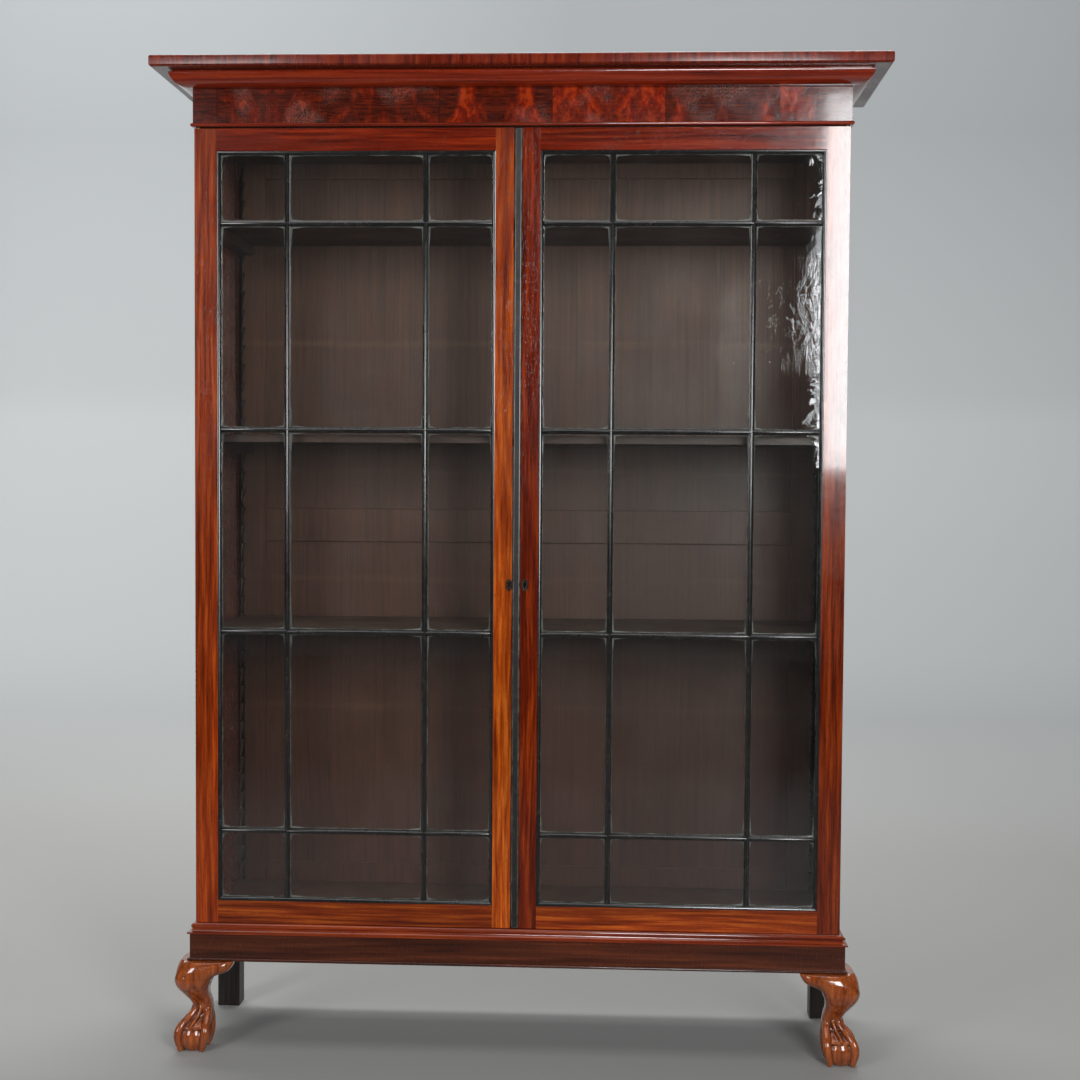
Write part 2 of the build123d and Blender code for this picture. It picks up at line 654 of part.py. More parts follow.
def main():
    os.makedirs(PARTS, exist_ok=True)
    case, door, case_screws, door_screws, sockets = hinge_set()
    both_case = case + [mirrored(plate) for plate in case]
    both_case_screws = case_screws + [mirrored(piece) for piece in case_screws]
    write_carcass()
    write_cornice_and_base(both_case, both_case_screws)
    save("hinge_case_plates", *both_case)
    save("hinge_case_screws", *both_case_screws)

    lock_case, lock_bolt, bolt_way = lock_parts()
    strike = block(LEFT_DOOR_EDGE - 12, LEFT_DOOR_EDGE + 1, BOLT_Y[0] - 0.5, BOLT_Y[1] + 0.5,
                   BOLT_Z[0] - 0.5, BOLT_Z[1] + 0.5)
    write_door("right", HALF, RIGHT_OPENING, STRIP_RIGHT, UPRIGHTS, door, door_screws, sockets,
               [block(*LOCK_BOX), bolt_way, keyhole(KEYHOLE_X, 13)])
    write_door("left", -HALF, LEFT_OPENING, LEFT_DOOR_EDGE, tuple(-x for x in reversed(UPRIGHTS)),
               [mirrored(piece) for piece in door], [mirrored(piece) for piece in door_screws],
               [mirrored(piece) for piece in sockets], [strike, keyhole(-KEYHOLE_X, 8)])
    strip = block(STRIP_LEFT, STRIP_RIGHT, FRONT - 2.5, FRONT + DOOR_THICKNESS, DOOR_BOTTOM, DOOR_TOP)
    save("meeting_strip", strip - bolt_way)
    save("left_escutcheon", escutcheon(-KEYHOLE_X))
    save("right_escutcheon", escutcheon(KEYHOLE_X))
    save("lock_case", lock_case)
    save("lock_bolt", lock_bolt)
    top_barrel, top_rod = shoot_bolt(1)
    bottom_barrel, bottom_rod = shoot_bolt(-1)
    save("bolt_barrels", top_barrel, bottom_barrel)
    save("top_bolt", top_rod)
    save("bottom_bolt", bottom_rod)


main()
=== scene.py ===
import json
import math
import random

import bmesh
import bpy
from bpy.props import FloatProperty, FloatVectorProperty, PointerProperty
from mathutils import Matrix, Vector, noise


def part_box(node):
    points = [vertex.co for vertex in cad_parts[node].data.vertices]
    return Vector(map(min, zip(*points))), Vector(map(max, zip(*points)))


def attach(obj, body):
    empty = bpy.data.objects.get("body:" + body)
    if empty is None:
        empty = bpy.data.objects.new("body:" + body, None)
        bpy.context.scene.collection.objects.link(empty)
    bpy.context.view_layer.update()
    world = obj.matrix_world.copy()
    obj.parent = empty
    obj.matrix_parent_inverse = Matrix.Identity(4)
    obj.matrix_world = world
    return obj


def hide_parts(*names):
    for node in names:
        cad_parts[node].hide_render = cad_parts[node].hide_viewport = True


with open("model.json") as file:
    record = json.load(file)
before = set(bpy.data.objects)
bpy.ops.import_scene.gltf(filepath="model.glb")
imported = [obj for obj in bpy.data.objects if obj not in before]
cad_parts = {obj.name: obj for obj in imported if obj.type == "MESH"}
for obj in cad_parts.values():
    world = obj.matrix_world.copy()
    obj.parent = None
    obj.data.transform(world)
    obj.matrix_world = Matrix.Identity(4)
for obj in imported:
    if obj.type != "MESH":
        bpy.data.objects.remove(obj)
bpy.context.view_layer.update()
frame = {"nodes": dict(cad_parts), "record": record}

bl_info = {
    "name": "Glazed bookcase",
    "version": (1, 0, 0),
    "blender": (4, 5, 0),
    "location": "3D View > Sidebar > Bookcase",
    "description": "Finishes the pieces of a glazed mahogany bookcase on claw feet",
    "category": "Object",
}

MM = 0.001
BODY_OF = {node: body for body, nodes in frame["record"]["behaviour"]["bodies"].items() for node in nodes}
DOOR_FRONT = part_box("left_rails")[0].y
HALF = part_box("right_hinge_stile")[1].x
LEG_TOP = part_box("leg_back_left")[1].z
GLASS_FRONT, GLASS_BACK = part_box("left_panes")[0].y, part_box("left_panes")[1].y
SIDES = ("left", "right")
ROUND = 48
PUTTY_DEPTH = 5.5 * MM
STRIP_ROUNDING = 4.5 * MM
BALL_RADIUS, BALL_LEVEL = 31 * MM, 24 * MM
LEAF_WIDTH = 0.108
SHELF_MARKS = (0.637, 0.911, 1.140, 1.409, 1.636)


def tint(red, green, blue):
    """A colour from its 0 to 255 values, as Blender's linear red, green and blue."""
    values = [value / 255 for value in (red, green, blue)]
    return tuple(v / 12.92 if v <= 0.04045 else ((v + 0.055) / 1.055) ** 2.4 for v in values)


# ---- what a user would change -------------------------------------------

def colour(name, description, red, green, blue):
    return FloatVectorProperty(name=name, description=description, subtype="COLOR", size=3,
                               min=0.0, max=1.0, default=tint(red, green, blue))


def length(name, description, millimetres):
    return FloatProperty(name=name, description=description, unit="LENGTH", subtype="DISTANCE",
                         min=0.0, default=millimetres * MM)


def power(name, description, watts):
    return FloatProperty(name=name, description=description, subtype="POWER", min=0.0, default=watts)


class TimberSettings(bpy.types.PropertyGroup):
    """Colours and edges of the timber."""
    door_dark: colour("Door dark", "Dark streaks of the door frames", 84, 24, 6)
    door_mid: colour("Door", "Main colour of the door frames", 144, 52, 14)
    door_light: colour("Door light", "Light streaks of the door frames", 186, 84, 32)
    stile_light: colour("Meeting stile light", "Light streaks of the left middle stile", 204, 108, 42)
    cornice: colour("Cornice", "Main colour of the cornice", 128, 36, 12)
    plinth: colour("Plinth", "Main colour of the plinth", 74, 32, 16)
    flame: colour("Flame", "Orange flames in the frieze's veneer", 142, 31, 4)
    carving: colour("Carving", "Main colour of the carved legs", 150, 72, 30)
    inside: colour("Inside", "Main colour of the unpolished inside", 86, 54, 38)
    back_leg: colour("Back leg", "Stain of the plain back legs", 34, 28, 26)
    ebony: colour("Ebonised", "Black stain of the glazing bars", 22, 20, 19)
    edge: length("Edge rounding", "How much the boards' sharp edges are worn", 0.9)
    moulding_edge: length("Moulding edge", "How much the mouldings' sharp edges are worn", 0.4)


class GlassSettings(bpy.types.PropertyGroup):
    """Old glass, its putty and the dust on it."""
    ripple: length("Ripple", "Height of the waves in the old glass", 0.5)
    tilt: FloatProperty(name="Tilt", description="How far out of true the panes are set",
                        subtype="ANGLE", min=0.0, default=math.radians(0.22))
    putty: length("Putty line", "How far the putty shows past the bars", 0.5)
    putty_corner: length("Putty corner", "Radius of the putty in a pane's corners", 9.0)
    haze: FloatProperty(name="Haze", description="How much of the view the dust film hides",
                        subtype="FACTOR", min=0.0, max=1.0, default=0.012)


class StudioSettings(bpy.types.PropertyGroup):
    """Camera and lights."""
    lens: FloatProperty(name="Lens", description="Focal length on a 36 mm sensor", subtype="DISTANCE_CAMERA",
                        min=1.0, default=56.4)
    place: FloatVectorProperty(name="Camera place", description="Where the camera stands",
                               subtype="TRANSLATION", unit="LENGTH", size=3,
                               default=(0.207, -3.393, 1.149))
    turn: FloatVectorProperty(name="Camera turn", description="Tilt down, roll and turn to the left",
                              subtype="EULER", size=3,
                              default=tuple(math.radians(a) for a in (2.44, 0.37, 2.85)))
    key: power("Key light", "Power of the tall softbox on the right", 92.0)
    fill: power("Fill light", "Power of the softbox on the left", 66.0)
    top: power("Top light", "Power of the large light overhead", 36.0)
    backdrop: power("Backdrop light", "Power of the light on the backdrop", 420.0)
    back: power("Back light", "Power of the light on the case's back", 60.0)


# ---- shapes -------------------------------------------------------------

def spot(point):
    return tuple(round(value, 6) for value in point)


def through_solid(shape, edge, faces):
    """Pairs the faces that meet at one edge of two touching solids, each with its own solid's face."""
    start, end = (Vector(point) for point in edge)
    axis = (end - start).normalized()
    side = axis.orthogonal().normalized()
    up = axis.cross(side)
    around = []
    for index in faces:
        face = shape.faces[index]
        into = face.calc_center_median() - start
        into -= axis * into.dot(axis)
        enters = axis.cross(into).dot(face.normal) < 0
        around.append((math.atan2(into.dot(up), into.dot(side)), enters, index))
    for angle, enters, index in around:
        leaving = [((other - angle + 1e-4) % math.tau, k) for other, e, k in around if not e]
        if enters and leaving:
            yield index, min(leaving)[1]


def solids_of(shape):
    """The vertices of each solid in a mesh of loose triangles, also where two solids touch."""
    shape.faces.ensure_lookup_table()
    shape.faces.index_update()
    owner = list(range(len(shape.faces)))

    def root(index):
        while owner[index] != index:
            owner[index] = owner[owner[index]]
            index = owner[index]
        return index

    meeting = {}
    for face in shape.faces:
        corners = [spot(vert.co) for vert in face.verts]
        for a, b in zip(corners, corners[1:] + corners[:1]):
            if a != b:
                meeting.setdefault(frozenset((a, b)), []).append(face.index)
    for edge, faces in meeting.items():
        pairs = [faces] if len(faces) == 2 else through_solid(shape, edge, faces)
        for a, b in pairs:
            owner[root(a)] = root(b)
    solids = {}
    for face in shape.faces:
        solids.setdefault(root(face.index), []).extend(face.verts)
    return list(solids.values())


def clean_copy(node):
    """A CAD node's mesh with each solid's corners merged and its flat faces whole."""
    shape = bmesh.new()
    shape.from_mesh(frame["nodes"][node].data)
    bmesh.ops.split_edges(shape, edges=shape.edges)
    for solid in solids_of(shape):
        bmesh.ops.remove_doubles(shape, verts=solid, dist=2e-6)
    bmesh.ops.dissolve_degenerate(shape, edges=shape.edges, dist=1e-6)
    bmesh.ops.dissolve_limit(shape, verts=shape.verts, edges=shape.edges, angle_limit=math.radians(0.4))
    return shape


def ease_edges(shape, width, segments=2, sharp=30.0):
    """Rounds the sharp edges, smooths curved strips, and marks the worn line along each edge."""
    limit = math.radians(sharp)
    narrow = 12 * MM
    for face in shape.faces:
        angles = [edge.calc_face_angle(0.0) for edge in face.edges if edge.is_manifold]
        longest = max(edge.calc_length() for edge in face.edges)
        curved = any(math.radians(0.5) < angle < limit for angle in angles)
        face.smooth = curved and face.calc_area() < narrow * longest
    low = [min(vert.co[i] for vert in shape.verts) for i in range(3)]
    high = [max(vert.co[i] for vert in shape.verts) for i in range(3)]
    edges = [edge for edge in shape.edges if edge.is_manifold and edge.calc_face_angle(0.0) > limit]
    made = bmesh.ops.bevel(shape, geom=edges, affect="EDGES", offset=width, offset_type="OFFSET",
                           segments=segments, profile=0.5, clamp_overlap=True, loop_slide=True, material=-1)
    rounded = set(made["faces"])
    for face in rounded:
        face.smooth = True
    worn = shape.verts.layers.float.new("worn")
    for vert in shape.verts:
        vert.co = [min(max(value, a), b) for value, a, b in zip(vert.co, low, high)]
        vert[worn] = 1.0 if vert.link_faces and all(f in rounded for f in vert.link_faces) else 0.0
    return shape


def islands(shape):
    """The vertices of each connected part."""
    seen = set()
    for first in shape.verts:
        if first in seen:
            continue
        seen.add(first)
        part, waiting = [], [first]
        while waiting:
            vert = waiting.pop()
            part.append(vert)
            for edge in vert.link_edges:
                other = edge.other_vert(vert)
                if other not in seen:
                    seen.add(other)
                    waiting.append(other)
        yield part


def lay_grain(shape, name, along=None):
    """Gives each board its own grain: X and Y across it, Z along it, from its own part of the log."""
    chooser = random.Random(name)
    grain = shape.verts.layers.float_vector.new("grain")
    tone = shape.verts.layers.float.new("tone")
    for board in islands(shape):
        spans = [max(v.co[i] for v in board) - min(v.co[i] for v in board) for i in range(3)]
        axis = spans.index(max(spans)) if along is None else along
        order = ((axis + 1) % 3, (axis + 2) % 3, axis)
        shift = [chooser.uniform(-4, 4) for _ in order]
        own_tone = chooser.random()
        for vert in board:
            vert[grain] = [vert.co[i] + s for i, s in zip(order, shift)]
            vert[tone] = own_tone
    return shape


def of_kind(items, kind):
    return [item for item in items if isinstance(item, kind)]


def show(name, shape, finish, node, replaced=()):
    """Turns a shape into a shown piece that has a CAD node's body and slot."""
    mesh = bpy.data.meshes.new(name)
    shape.to_mesh(mesh)
    shape.free()
    piece = bpy.data.objects.new(name, mesh)
    bpy.context.scene.collection.objects.link(piece)
    mesh.materials.append(finish)
    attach(piece, BODY_OF[node])
    if replaced:
        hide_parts(*replaced)
    return piece


def finish_board(node, finish, width, along=None, segments=2):
    """Stands a board with eased edges and its own grain in a CAD node's place."""
    shape = lay_grain(ease_edges(clean_copy(node), width, segments), node, along)
    return show(f"{node}_finished", shape, finish, node, [node])


def dress(node, finish):
    """Gives a CAD node its finish."""
    mesh = frame["nodes"][node].data
    mesh.materials.clear()
    mesh.materials.append(finish)


# ---- node trees ---------------------------------------------------------

class Recipe:
    """A node tree, with short calls for the nodes that finishes are made of."""

    def __init__(self, tree):
        self.tree = tree

    def feed(self, socket, value):
        """Links another node's output to a socket, or sets the socket to a number or colour."""
        if isinstance(value, bpy.types.NodeSocket):
            self.tree.links.new(value, socket)
        else:
            socket.default_value = value

    def add(self, kind, inputs=None, **settings):
        """Adds a node. An input is a number, a colour or another node's output."""
        made = self.tree.nodes.new("ShaderNode" + kind)
        for name, value in settings.items():
            setattr(made, name, value)
        for name, value in (inputs or {}).items():
            self.feed(made.inputs[name], value)
        return made

    def math(self, operation, *values, clamp=False):
        return self.add("Math", dict(enumerate(values)), operation=operation, use_clamp=clamp).outputs[0]

    def vector(self, operation, *values):
        return self.add("VectorMath", dict(enumerate(values)), operation=operation).outputs[0]

    def stretch(self, vector, x, y, z):
        return self.vector("MULTIPLY", vector, (x, y, z))

    def split(self, vector):
        return self.add("SeparateXYZ", {0: vector}).outputs

    def join(self, x, y, z):
        return self.add("CombineXYZ", {0: x, 1: y, 2: z}).outputs[0]

    def noise(self, vector, scale=1.0, detail=3.0, roughness=0.55, distortion=0.0):
        return self.add("TexNoise", {"Vector": vector, "Scale": scale, "Detail": detail,
                                     "Roughness": roughness, "Distortion": distortion}).outputs[0]

    def spread(self, value, low, high, to_low=0.0, to_high=1.0):
        """Stretches the values between low and high to another range, and holds those outside it."""
        return self.add("MapRange", {"Value": value, "From Min": low, "From Max": high,
                                     "To Min": to_low, "To Max": to_high}).outputs[0]

    def ramp(self, value, *stops):
        made = self.add("ValToRGB", {0: value})
        elements = made.color_ramp.elements
        while len(elements) < len(stops):
            elements.new(0.5)
        for element, (place, shade) in zip(elements, stops):
            element.position = place
            element.color = (*shade[:3], 1.0)
        return made.outputs[0]

    def mix(self, factor, a, b, blend="MIX"):
        made = self.add("Mix", {0: factor}, data_type="RGBA", blend_type=blend)
        for index, value in ((6, a), (7, b)):
            is_socket = isinstance(value, bpy.types.NodeSocket)
            self.feed(made.inputs[index], value if is_socket else (*value[:3], 1.0))
        return made.outputs[2]

    def shade(self, value, low, high):
        """A grey that multiplies a colour, from a value between 0 and 1."""
        return self.ramp(value, (0.0, (low,) * 3), (1.0, (high,) * 3))

    def attribute(self, name):
        return self.add("Attribute", attribute_name=name).outputs

    def place(self):
        return self.add("TexCoord").outputs["Object"]

    def group(self, tree, inputs):
        made = self.add("Group")
        made.node_tree = tree
        for name, value in inputs.items():
            self.feed(made.inputs[name], value)
        return made.outputs

    def bump(self, height, distance, normal=None):
        inputs = {"Height": height, "Distance": distance, "Strength": 1.0}
        if normal is not None:
            inputs["Normal"] = normal
        return self.add("Bump", inputs).outputs[0]


def new_group(name, inputs, outputs):
    """An empty node group with the named sockets, its recipe, and its two end nodes."""
    tree = bpy.data.node_groups.new(name, "ShaderNodeTree")
    for label, kind, value in inputs:
        socket = tree.interface.new_socket(name=label, in_out="INPUT", socket_type="NodeSocket" + kind)
        if value is not None:
            socket.default_value = value
    for label in outputs:
        tree.interface.new_socket(name=label, in_out="OUTPUT", socket_type="NodeSocketFloat")
    given = tree.nodes.new("NodeGroupInput").outputs
    result = tree.nodes.new("NodeGroupOutput").inputs
    return tree, Recipe(tree), given, result


def give(tree, result, **values):
    for name, value in values.items():
        tree.links.new(value, result[name])


def figure_group():
    """Long streaks, ribbon bands and short pores that follow a board's grain."""
    tree, make, given, result = new_group(
        "Timber figure",
        [("Grain", "Vector", None), ("Width", "Float", 0.008), ("Stretch", "Float", 26.0),
         ("Wander", "Float", 0.02)],
        ("Streak", "Ribbon", "Pores"))
    grain = given["Grain"]
    drift = make.add("TexNoise", {"Vector": make.stretch(grain, 5.0, 5.0, 1.6), "Scale": 1.0,
                                  "Detail": 2.0}).outputs["Color"]
    drift = make.vector("SUBTRACT", drift, (0.5, 0.5, 0.5))
    drift = make.vector("MULTIPLY", drift, make.join(given["Wander"], given["Wander"], 0.0))
    bent = make.vector("ADD", grain, drift)
    across = make.math("DIVIDE", 1.0, given["Width"])
    along = make.math("DIVIDE", across, given["Stretch"])
    streak = make.noise(make.vector("MULTIPLY", bent, make.join(across, across, along)),
                        detail=7.0, roughness=0.62)
    ribbon = make.noise(make.stretch(bent, 55.0, 55.0, 1.4), detail=2.0)
    pores = make.noise(make.stretch(bent, 1500.0, 1500.0, 95.0), detail=1.0)
    give(tree, result, Streak=streak, Ribbon=ribbon, Pores=make.spread(pores, 0.60, 0.72))
    return tree


def polish_group():
    """Old french polish: cloudy patches, fine scuffs and a slightly wavy surface."""
    tree, make, given, result = new_group(
        "Old polish", [("Place", "Vector", None), ("Gloss", "Float", 0.22), ("Cloud", "Float", 0.12)],
        ("Roughness", "Waves"))
    cloud = make.noise(given["Place"], 9.0, 4.0)
    scuffs = make.noise(make.stretch(given["Place"], 260.0, 260.0, 60.0), detail=2.0)
    added = make.math("MULTIPLY", make.spread(cloud, 0.35, 0.75), given["Cloud"])
    scuffed = make.math("MULTIPLY", make.spread(scuffs, 0.58, 0.75), 0.08)
    rough = make.math("ADD", make.math("ADD", given["Gloss"], added), scuffed)
    waves = make.noise(given["Place"], 26.0, 2.0)
    give(tree, result, Roughness=rough, Waves=waves)
    return tree


def wear_group():
    """Where edges have been rubbed: the worn line along each edge, broken up."""
    tree, make, given, result = new_group(
        "Edge wear", [("Place", "Vector", None), ("Worn", "Float", 0.0), ("Amount", "Float", 0.6)],
        ("Mask",))
    patches = make.spread(make.noise(given["Place"], 38.0, 4.0, 0.65), 0.38, 0.62)
    mask = make.math("MULTIPLY", make.math("MULTIPLY", given["Worn"], patches), given["Amount"])
    give(tree, result, Mask=mask)
    return tree


def dust_group():
    """Dust that settles on faces that look up."""
    tree, make, given, result = new_group(
        "Settled dust", [("Place", "Vector", None), ("Amount", "Float", 0.5)], ("Mask",))
    up = make.split(make.add("NewGeometry").outputs["Normal"])[2]
    patches = make.spread(make.noise(given["Place"], 60.0, 5.0, 0.7), 0.3, 0.75, 0.35, 1.0)
    mask = make.math("MULTIPLY", make.spread(up, 0.55, 0.95), patches)
    give(tree, result, Mask=make.math("MULTIPLY", mask, given["Amount"]))
    return tree


GROUPS = {}


def group_of(maker):
    if maker.__name__ not in GROUPS:
        GROUPS[maker.__name__] = maker()
    return GROUPS[maker.__name__]


def new_finish(name):
    """A material with only its output and Principled shader, and its recipe."""
    finish = bpy.data.materials.new(name)
    finish.use_nodes = True
    tree = finish.node_tree
    tree.nodes.clear()
    make = Recipe(tree)
    shader = make.add("BsdfPrincipled")
    end = make.add("OutputMaterial", {"Surface": shader.outputs[0]})
    return finish, make, shader, end


def connect(make, shader, **values):
    """Sets or links the shader's inputs; underscores stand for spaces."""
    for name, value in values.items():
        make.feed(shader.inputs[name.replace("_", " ")], value)


def figured(make, width, stretch, wander, grain=None):
    """Streaks, ribbon and pores, along the board's own grain unless another is given."""
    grain = grain or make.attribute("grain")["Vector"]
    return make.group(group_of(figure_group),
                      {"Grain": grain, "Width": width, "Stretch": stretch, "Wander": wander})


def rubbed(make, base, amount, shown):
    """Lays the colour of rubbed timber along the worn edges."""
    worn = make.attribute("worn")["Fac"]
    mask = make.group(group_of(wear_group), {"Place": make.place(), "Worn": worn, "Amount": amount})["Mask"]
    return make.mix(mask, base, shown)


def old_polish(make, gloss, cloud):
    return make.group(group_of(polish_group), {"Place": make.place(), "Gloss": gloss, "Cloud": cloud})


def dust_mask(make, amount):
    return make.group(group_of(dust_group), {"Place": make.place(), "Amount": amount})["Mask"]


# ---- finishes -----------------------------------------------------------

def polished_timber(name, dark, middle, light, width=0.008, stretch=26.0, wander=0.02, contrast=1.0,
                    gloss=0.14, coat=0.8, wear=0.5, edge=None, carved=False, pores=0.55,
                    cloud=0.06, low=None, high=None):
    """French-polished timber whose streaks, bands and pores follow each board's grain."""
    finish, make, shader, _ = new_finish(name)
    place = make.place()
    figure = figured(make, width, stretch, wander)
    reach = 0.2 / contrast
    base = make.ramp(figure["Streak"], (0.5 - reach, dark), (0.5, middle), (0.5 + reach, light))
    base = make.mix(0.9, base, make.shade(figure["Ribbon"], 0.25, 1.75), "MULTIPLY")
    base = make.mix(0.6, base, make.shade(make.attribute("tone")["Fac"], 0.72, 1.25), "MULTIPLY")
    base = make.mix(make.math("MULTIPLY", figure["Pores"], pores), base, [c * 0.3 for c in dark])
    # Multiplied by a colour that changes with height, from low at the bottom to high at the top: on the door
    # stiles this is painted light and shade.
    if low:
        level = make.spread(make.split(place)[2], 0.4, 1.7)
        base = make.mix(1.0, base, make.ramp(level, (0.0, low), (1.0, high)), "MULTIPLY")
    base = rubbed(make, base, wear, edge or [min(1.0, c * 1.9) for c in light])
    # Dirt and painted shade darken the hollows of the carving.
    if carved:
        hollow = make.attribute("hollow")["Fac"]
        grime = make.math("MULTIPLY", make.spread(hollow, 0.05, 0.7), 0.85)
        base = make.mix(grime, base, [c * 0.18 for c in dark])
    polish = old_polish(make, gloss, cloud)
    waves = make.bump(polish["Waves"], 0.00035)
    pitted = make.bump(figure["Pores"], -0.00006, waves)
    connect(make, shader, Base_Color=base, Roughness=polish["Roughness"], Normal=pitted, Coat_Weight=coat,
            Coat_Roughness=0.06, Specular_IOR_Level=0.3)
    return finish


def flame_veneer(name, timber):
    """Book-matched leaves of flame veneer with fine cracks in the polish."""
    finish, make, shader, _ = new_finish(name)
    grain = make.attribute("grain")["Vector"]
    place = make.place()
    first, second, along = make.split(grain)
    folded = make.math("PINGPONG", along, LEAF_WIDTH)
    pair = make.math("FLOOR", make.math("DIVIDE", along, 2 * LEAF_WIDTH))
    height = make.math("ADD", first, second)
    leaf_place = make.join(folded, height, make.math("MULTIPLY", pair, 3.7))
    flames = make.noise(make.stretch(leaf_place, 15.0, 8.0, 1.0), detail=4.0, roughness=0.55,
                        distortion=1.0)
    fibres = make.noise(make.stretch(leaf_place, 30.0, 330.0, 1.0), detail=6.0, roughness=0.65)
    mottle = make.noise(make.stretch(leaf_place, 90.0, 60.0, 1.0), detail=4.0, distortion=0.6)
    dark = make.ramp(fibres, (0.32, tint(34, 8, 4)), (0.5, tint(72, 19, 6)), (0.68, tint(104, 32, 9)))
    bright = make.ramp(mottle, (0.36, tint(100, 22, 5)), (0.5, timber.flame), (0.66, tint(178, 58, 12)))
    base = make.mix(make.spread(flames, 0.5, 0.72, 0.0, 0.9), dark, bright)
    joint = make.math("LESS_THAN", folded, 0.0007)
    base = make.mix(make.math("MULTIPLY", joint, 0.7), base, tint(30, 10, 8))
    cracks = make.add("TexVoronoi", {"Vector": make.stretch(leaf_place, 1.0, 0.45, 1.0), "Scale": 330.0},
                      feature="DISTANCE_TO_EDGE").outputs[0]
    crazed = make.spread(make.noise(place, 7.0, 2.0), 0.5, 0.6)
    crack = make.math("MULTIPLY", make.spread(cracks, 0.06, 0.0), crazed)
    base = make.mix(make.math("MULTIPLY", crack, 0.45), base, tint(150, 110, 90))
    polish = old_polish(make, 0.16, 0.14)
    waves = make.bump(polish["Waves"], 0.0006)
    normal = make.bump(crack, -0.00008, waves)
    connect(make, shader, Base_Color=base, Roughness=polish["Roughness"], Normal=normal,
            Coat_Weight=0.6, Coat_Roughness=0.06, Specular_IOR_Level=0.3)
    return finish


def banded_cornice(name, timber):
    """Cornice board: cross-banded veneer on its edges and long plain grain on its top."""
    finish, make, shader, _ = new_finish(name)
    place = make.place()
    x, y, z = make.split(place)
    long_grain = make.join(y, z, x)
    banded = figured(make, 0.0075, 9.0, 0.004, place)
    plain = figured(make, 0.012, 30.0, 0.03, long_grain)
    level = make.math("ABSOLUTE", make.split(make.add("NewGeometry").outputs["Normal"])[2])
    flat = make.spread(level, 0.85, 0.98)
    edge = make.ramp(banded["Streak"], (0.3, tint(48, 10, 4)), (0.5, tint(104, 27, 9)),
                     (0.7, tint(128, 48, 20)))
    top = make.ramp(plain["Streak"], (0.3, tint(58, 24, 17)), (0.5, tint(92, 40, 27)),
                    (0.7, tint(120, 58, 38)))
    base = make.mix(flat, edge, top)
    base = rubbed(make, base, 0.5, tint(176, 104, 70))
    settled = dust_mask(make, 0.5)
    base = make.mix(settled, base, tint(140, 130, 118))
    polish = old_polish(make, 0.2, 0.16)
    rough = make.math("ADD", polish["Roughness"], make.math("MULTIPLY", settled, 0.6))
    waves = make.bump(polish["Waves"], 0.0004)
    connect(make, shader, Base_Color=base, Roughness=rough, Normal=waves, Coat_Weight=0.15,
            Coat_Roughness=0.1, Specular_IOR_Level=0.3)
    return finish


def inside_timber(name, timber, levels=(), shade=1.0):
    """Dry old timber of the inside, with pale lines where shelves once stood."""
    finish, make, shader, _ = new_finish(name)
    place = make.place()
    figure = figured(make, 0.005, 60.0, 0.02)
    inside = [c * shade for c in timber.inside]
    base = make.ramp(figure["Streak"], (0.3, [c * 0.6 for c in inside]), (0.5, inside),
                     (0.72, [c * 1.3 for c in inside]))
    base = make.mix(0.35, base, make.shade(figure["Ribbon"], 0.5, 1.45), "MULTIPLY")
    base = make.mix(0.5, base, make.shade(make.attribute("tone")["Fac"], 0.75, 1.2), "MULTIPLY")
    base = make.mix(make.math("MULTIPLY", figure["Pores"], 0.5), base, [c * 0.2 for c in inside])
    stains = make.spread(make.noise(place, 5.0, 4.0, 0.6), 0.5, 0.75)
    base = make.mix(make.math("MULTIPLY", stains, 0.3), base, tint(44, 30, 24))
    across, _, height = make.split(place)
    towards_room = make.spread(make.split(make.add("TexCoord").outputs["Normal"])[1], -0.5, -0.9)
    for level in levels:
        away = make.math("ABSOLUTE", make.math("SUBTRACT", height, level))
        line = make.spread(away, 0.003, 0.011, 1.0, 0.0)
        broken = make.spread(make.noise(make.stretch(place, 7.0, 7.0, 90.0), detail=4.0), 0.42, 0.62)
        mark = make.math("MULTIPLY", make.math("MULTIPLY", line, broken), 0.08)
        mark = make.math("MULTIPLY", mark, towards_room)
        base = make.mix(mark, base, tint(168, 140, 112))
    base = rubbed(make, base, 0.45, [c * 2.4 for c in inside])
    settled = dust_mask(make, 0.35)
    base = make.mix(settled, base, tint(150, 138, 122))
    # Lighter and greyer towards the top, darker and redder towards the bottom.
    base = make.mix(1.0, base, make.ramp(make.spread(height, 0.3, 1.8), (0.0, (0.85, 0.62, 0.55)),
                                         (0.45, (0.85, 0.72, 0.68)), (1.0, (1.25, 1.25, 1.25))), "MULTIPLY")
    polish = old_polish(make, 0.42, 0.16)
    normal = make.bump(figure["Pores"], -0.00008, make.bump(polish["Waves"], 0.0004))
    shaded = make.math("MULTIPLY", make.spread(across, -0.2, 0.3), make.spread(height, 1.5, 1.1, 0.0, 0.4))
    base = make.mix(shaded, base, tint(18, 10, 7))
    connect(make, shader, Base_Color=base, Roughness=polish["Roughness"], Normal=normal,
            Specular_IOR_Level=0.4)
    return finish


def ebonised(name, timber, gloss=0.2, wear=0.7):
    """Black stained and polished wood, rubbed brown and grey along its edges; the grey is partly a painted
    highlight.
    """
    finish, make, shader, _ = new_finish(name)
    place = make.place()
    figure = figured(make, 0.003, 30.0, 0.002)
    black = timber.ebony
    base = make.ramp(figure["Streak"], (0.35, [c * 0.5 for c in black]), (0.6, black),
                     (0.75, [c * 2.2 for c in black]))
    # Wear and painted highlight: the rounded edges are laid with a pale grey that stands partly for the glint
    # on the bars.
    base = rubbed(make, base, wear, tint(128, 116, 104))
    grime = make.spread(make.noise(place, 70.0, 5.0, 0.7), 0.55, 0.72, 0.0, 0.35)
    base = make.mix(grime, base, tint(96, 92, 86))
    polish = old_polish(make, gloss, 0.16)
    normal = make.bump(figure["Streak"], 0.00005, make.bump(polish["Waves"], 0.0002))
    connect(make, shader, Base_Color=base, Roughness=polish["Roughness"], Normal=normal,
            Coat_Weight=1.0, Coat_Roughness=gloss)
    return finish


